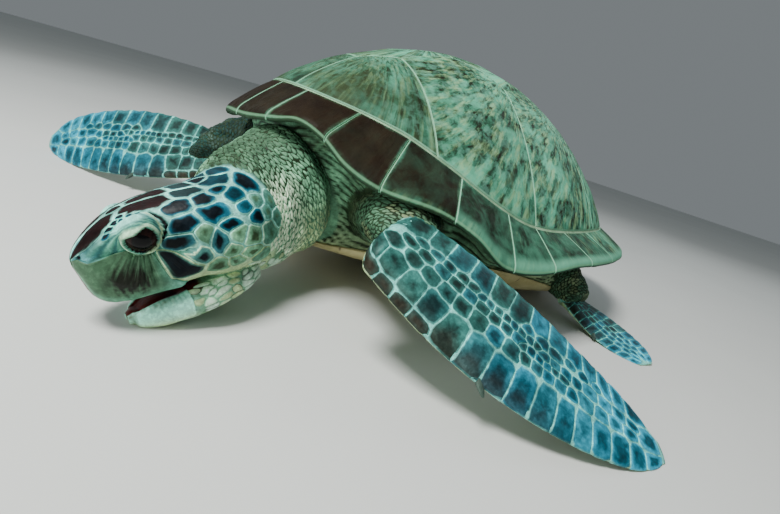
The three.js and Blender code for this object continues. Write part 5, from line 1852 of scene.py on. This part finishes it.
# %% Lozenges of the arms
def arm_coat(name, limb, grid, seed, atlas):
    """The same net on an arm, its chart in millimetres down and round the arm."""
    travel = line_travel(grid.mean(1))
    period = 2 * np.pi * np.mean(limb["radii"])
    up = outer_normals(grid)

    def surface(chart):
        """Row by travel down the arm, column by the share of the way round."""
        row = np.interp(chart[..., 0], travel, np.arange(len(travel)))
        col = chart[..., 1] / period * grid.shape[1]
        return on_skin(grid, up, row, col)

    def kept(point, centres):
        """Outside the shell and above the ground."""
        return clear_of_shell(point, 0.1) & ((point @ TURN.T + SHIFT)[:, 2] > 2)

    # painted shade: the right arm is darker and bluer than the others
    dim, shade_tint = (0.22, [0.7, 1.0, 1.5]) if name == "front_right" else (0.85, [1, 1, 1])

    def pale(point, centres):
        """Olive near the shell, greener towards the blade; on the right arm darkened and blued as painted
        shade.
        """
        green = mixed(PALE_GREEN * 0.55, CREAM * 0.45, ease(-0.2, 1.1, ripple(point, 50, seed)))
        return dim * mixed(OLIVE, green, ease(0.2, 0.8, centres[:, 0] / travel[-9])) * shade_tint

    def dark(point, centres):
        """Dark olive in every crease."""
        return np.broadcast_to(OLIVE * 0.3, point.shape)

    return lozenges(8, travel[-5], 5.6, 11.5, period, surface, kept, pale, dark, seed, atlas)


for k, (name, limb) in enumerate(LIMBS.items()):
    coat = arm_coat(name, limb, arm_grids[name], 80 + k, (0.02 + 0.24 * k, 0.7, 0.22, 0.28))
    piece(f"scales_arm_{name}", coat, LOZENGE)

# %% [markdown]
# ## Eyes, beak and claws
# Eyes, beak and claws are their own pieces over the skin. The beak is a thin sheath: the same
# rings as the head below the nostrils and the same rings as the jaw at its edge, a little
# proud of them, so its rim reads as a fine step.

# %% Eyes
def eyeball(mirror):
    """A sphere whose rings are centred on the eye's look, so the iris and pupil are its first rings."""
    tilt = np.radians(np.linspace(1.5, 178, 60))[:, None, None]
    turn = full_turn(72)[None, :, None]
    front = unit(np.cross(EYE_LOOK, [0, 0, 1.0]))
    over = np.cross(front, EYE_LOOK)
    bulge = 1.2 * bell(np.degrees(tilt), 26)
    ray = np.cos(tilt) * EYE_LOOK + np.sin(tilt) * (np.cos(turn) * front + np.sin(turn) * over)
    local = (np.array(EYE_PLACE) + ray * (EYE_RADIUS - 0.6 + bulge)) * [mirror, 1, 1]
    ring = np.degrees(tilt[..., 0]) * np.ones((1, 72))
    return tube(SNOUT + local @ HEAD, {"ring": ring})


for side, mirror in (("left", 1), ("right", -1)):
    piece(f"eye_{side}_ball", eyeball(mirror), EYE, [f"eye_{side}"])


# %% Beak
def beak_upper():
    """The head's own rows from the snout to the cheek, below the beak's upper line, made a thin sheath."""
    rows = np.linspace(0.6, np.interp(MOUTH_BACK, BACK, np.arange(len(BACK))), 70)
    back = np.interp(rows, np.arange(len(BACK)), BACK)
    top = np.interp(back, [p[0] for p in BEAK_TOP], [p[1] for p in BEAK_TOP])
    share = np.sin(np.linspace(-1, 1, 150) * np.pi / 2)
    turn = 180 + (180 - top[:, None] - 2.5) * share[None]
    col = np.interp(turn, np.append(TURN_DEG, 360), np.arange(len(TURN_DEG) + 1))
    row = rows[:, None] * np.ones_like(turn)
    skin_at, up = on_skin(HEAD_GRID, HEAD_UP, row, col)
    margin = np.minimum(abs(turn - 180 + (180 - top[:, None])), abs(360 - top[:, None] - turn))
    margin = np.minimum(margin, (MOUTH_BACK - back)[:, None])
    lift = 1.5 - edge_drop(np.maximum(margin - 2.5, 0), 1.5) * 0.9
    outer = skin_at + up * lift[..., None]
    side = np.minimum(turn, 360 - turn)
    local = (outer - SNOUT) @ HEAD.T
    edge = np.take_along_axis(local[..., 2], np.argmin(abs(side - 142), 1)[:, None], 1)
    height = (local[..., 2] - edge) / (local[:, :1, 2] - edge)
    streak = 0.5 * ripple(local * [1.0, 1.0, 0.35], 6.0, 12, 3) + 0.5 * ripple(local, 14, 18)
    blot = ((local[..., 1] - 42) / 23)**2 + ((height - 0.50 + 0.12 * streak) / 0.28)**2
    colour = layered(
        BEAK_GREEN, (BEAK_PALE, ease(124, 142, side)),
        (BEAK_DARK, np.clip(np.exp(-blot**2) * 1.25, 0, 0.94)),
        (MINT * 0.9, ease(64, 96, back)[:, None] * fade(140, 150, side) * 0.7),
        (FLESH_RED, ease(154, 162, side)))
    return pillow(outer, skin_at - up * 0.8, {"pigment": colour})


def beak_lower():
    """The jaw's own rows from its tip to the cheek, down to a line that rises backwards."""
    rows = np.linspace(0.4, np.interp(99, JAW_ROWS, np.arange(len(JAW_ROWS))), 60)
    back = np.interp(rows, np.arange(len(JAW_ROWS)), JAW_ROWS)
    low = hermite([35, 58, 96], [168, 146, 118], back)
    share = np.linspace(-1, 1, 130)
    turn = (low[:, None] * share[None]) % 360
    col = turn / 360 * JAW_GRID.shape[1]
    row = rows[:, None] * np.ones_like(turn)
    skin_at, up = on_skin(JAW_GRID, JAW_UP, row, col)
    margin = low[:, None] * (1 - abs(share))[None]
    lift = 1.2 - edge_drop(margin * 0.7, 1.2) * 0.9
    outer = skin_at + up * lift[..., None]
    side = np.minimum(turn, 360 - turn)
    stain = bell(side - 60, 10) * fade(80, 100, back)[:, None]
    stain = np.clip(0.7 * stain + fade(38, 50, back)[:, None] * 0.5, 0, 1)
    colour = layered(BEAK_BLUE, (CREAM, ease(80, 140, side)),
                     (STAIN, stain * (0.5 + 0.4 * ripple(outer, 17, 15, 3))), (FLESH_RED, fade(36, 46, side)))
    return pillow(outer, skin_at - up * 0.8, {"pigment": colour})


piece("beak_upper", beak_upper(), BEAK)
piece("beak_lower", beak_lower(), BEAK)

# %% Claws
CLAWS = {"front_left": (0.36, 24), "front_right": (0.36, 24), "hind_left": (0.5, 17), "hind_right": (0.5, 17)}


def claw_shape(limb, where_on, length):
    """A cone that curves backwards from the leading edge, with a round tip."""
    point, along, lead, _ = (part[0] for part in blade_axes(limb, [where_on]))
    stops = np.linspace(0, 1, len(limb["chords"]))
    chord = np.interp(where_on, stops, limb["chords"])
    base = point + lead * (chord * 0.45 - 5)
    aim = unit(lead * 0.8 + along * 0.6)
    over = unit(GROUND_UP - aim * (aim @ GROUND_UP))
    across = np.cross(aim, over)
    t = np.linspace(0, 1, 26)
    radius = 5.8 * np.sqrt(np.clip(1 - t**1.6, 0, 1)) + 0.15
    centre = base + aim * (-3 + (length + 2.4) * t)[:, None] + along * (2.5 * t**2)[:, None]
    turn = full_turn(28)[None, :, None]
    grid = centre[:, None] + radius[:, None, None] * (across * np.cos(turn) + 0.8 * over * np.sin(turn))
    return tube(grid, {"edge": np.full(grid.shape[:2], 9.0)})


for name, (where_on, length) in CLAWS.items():
    piece(f"nail_{name}", claw_shape(LIMBS[name], where_on, length), CLAW, [f"claw_{name}"])
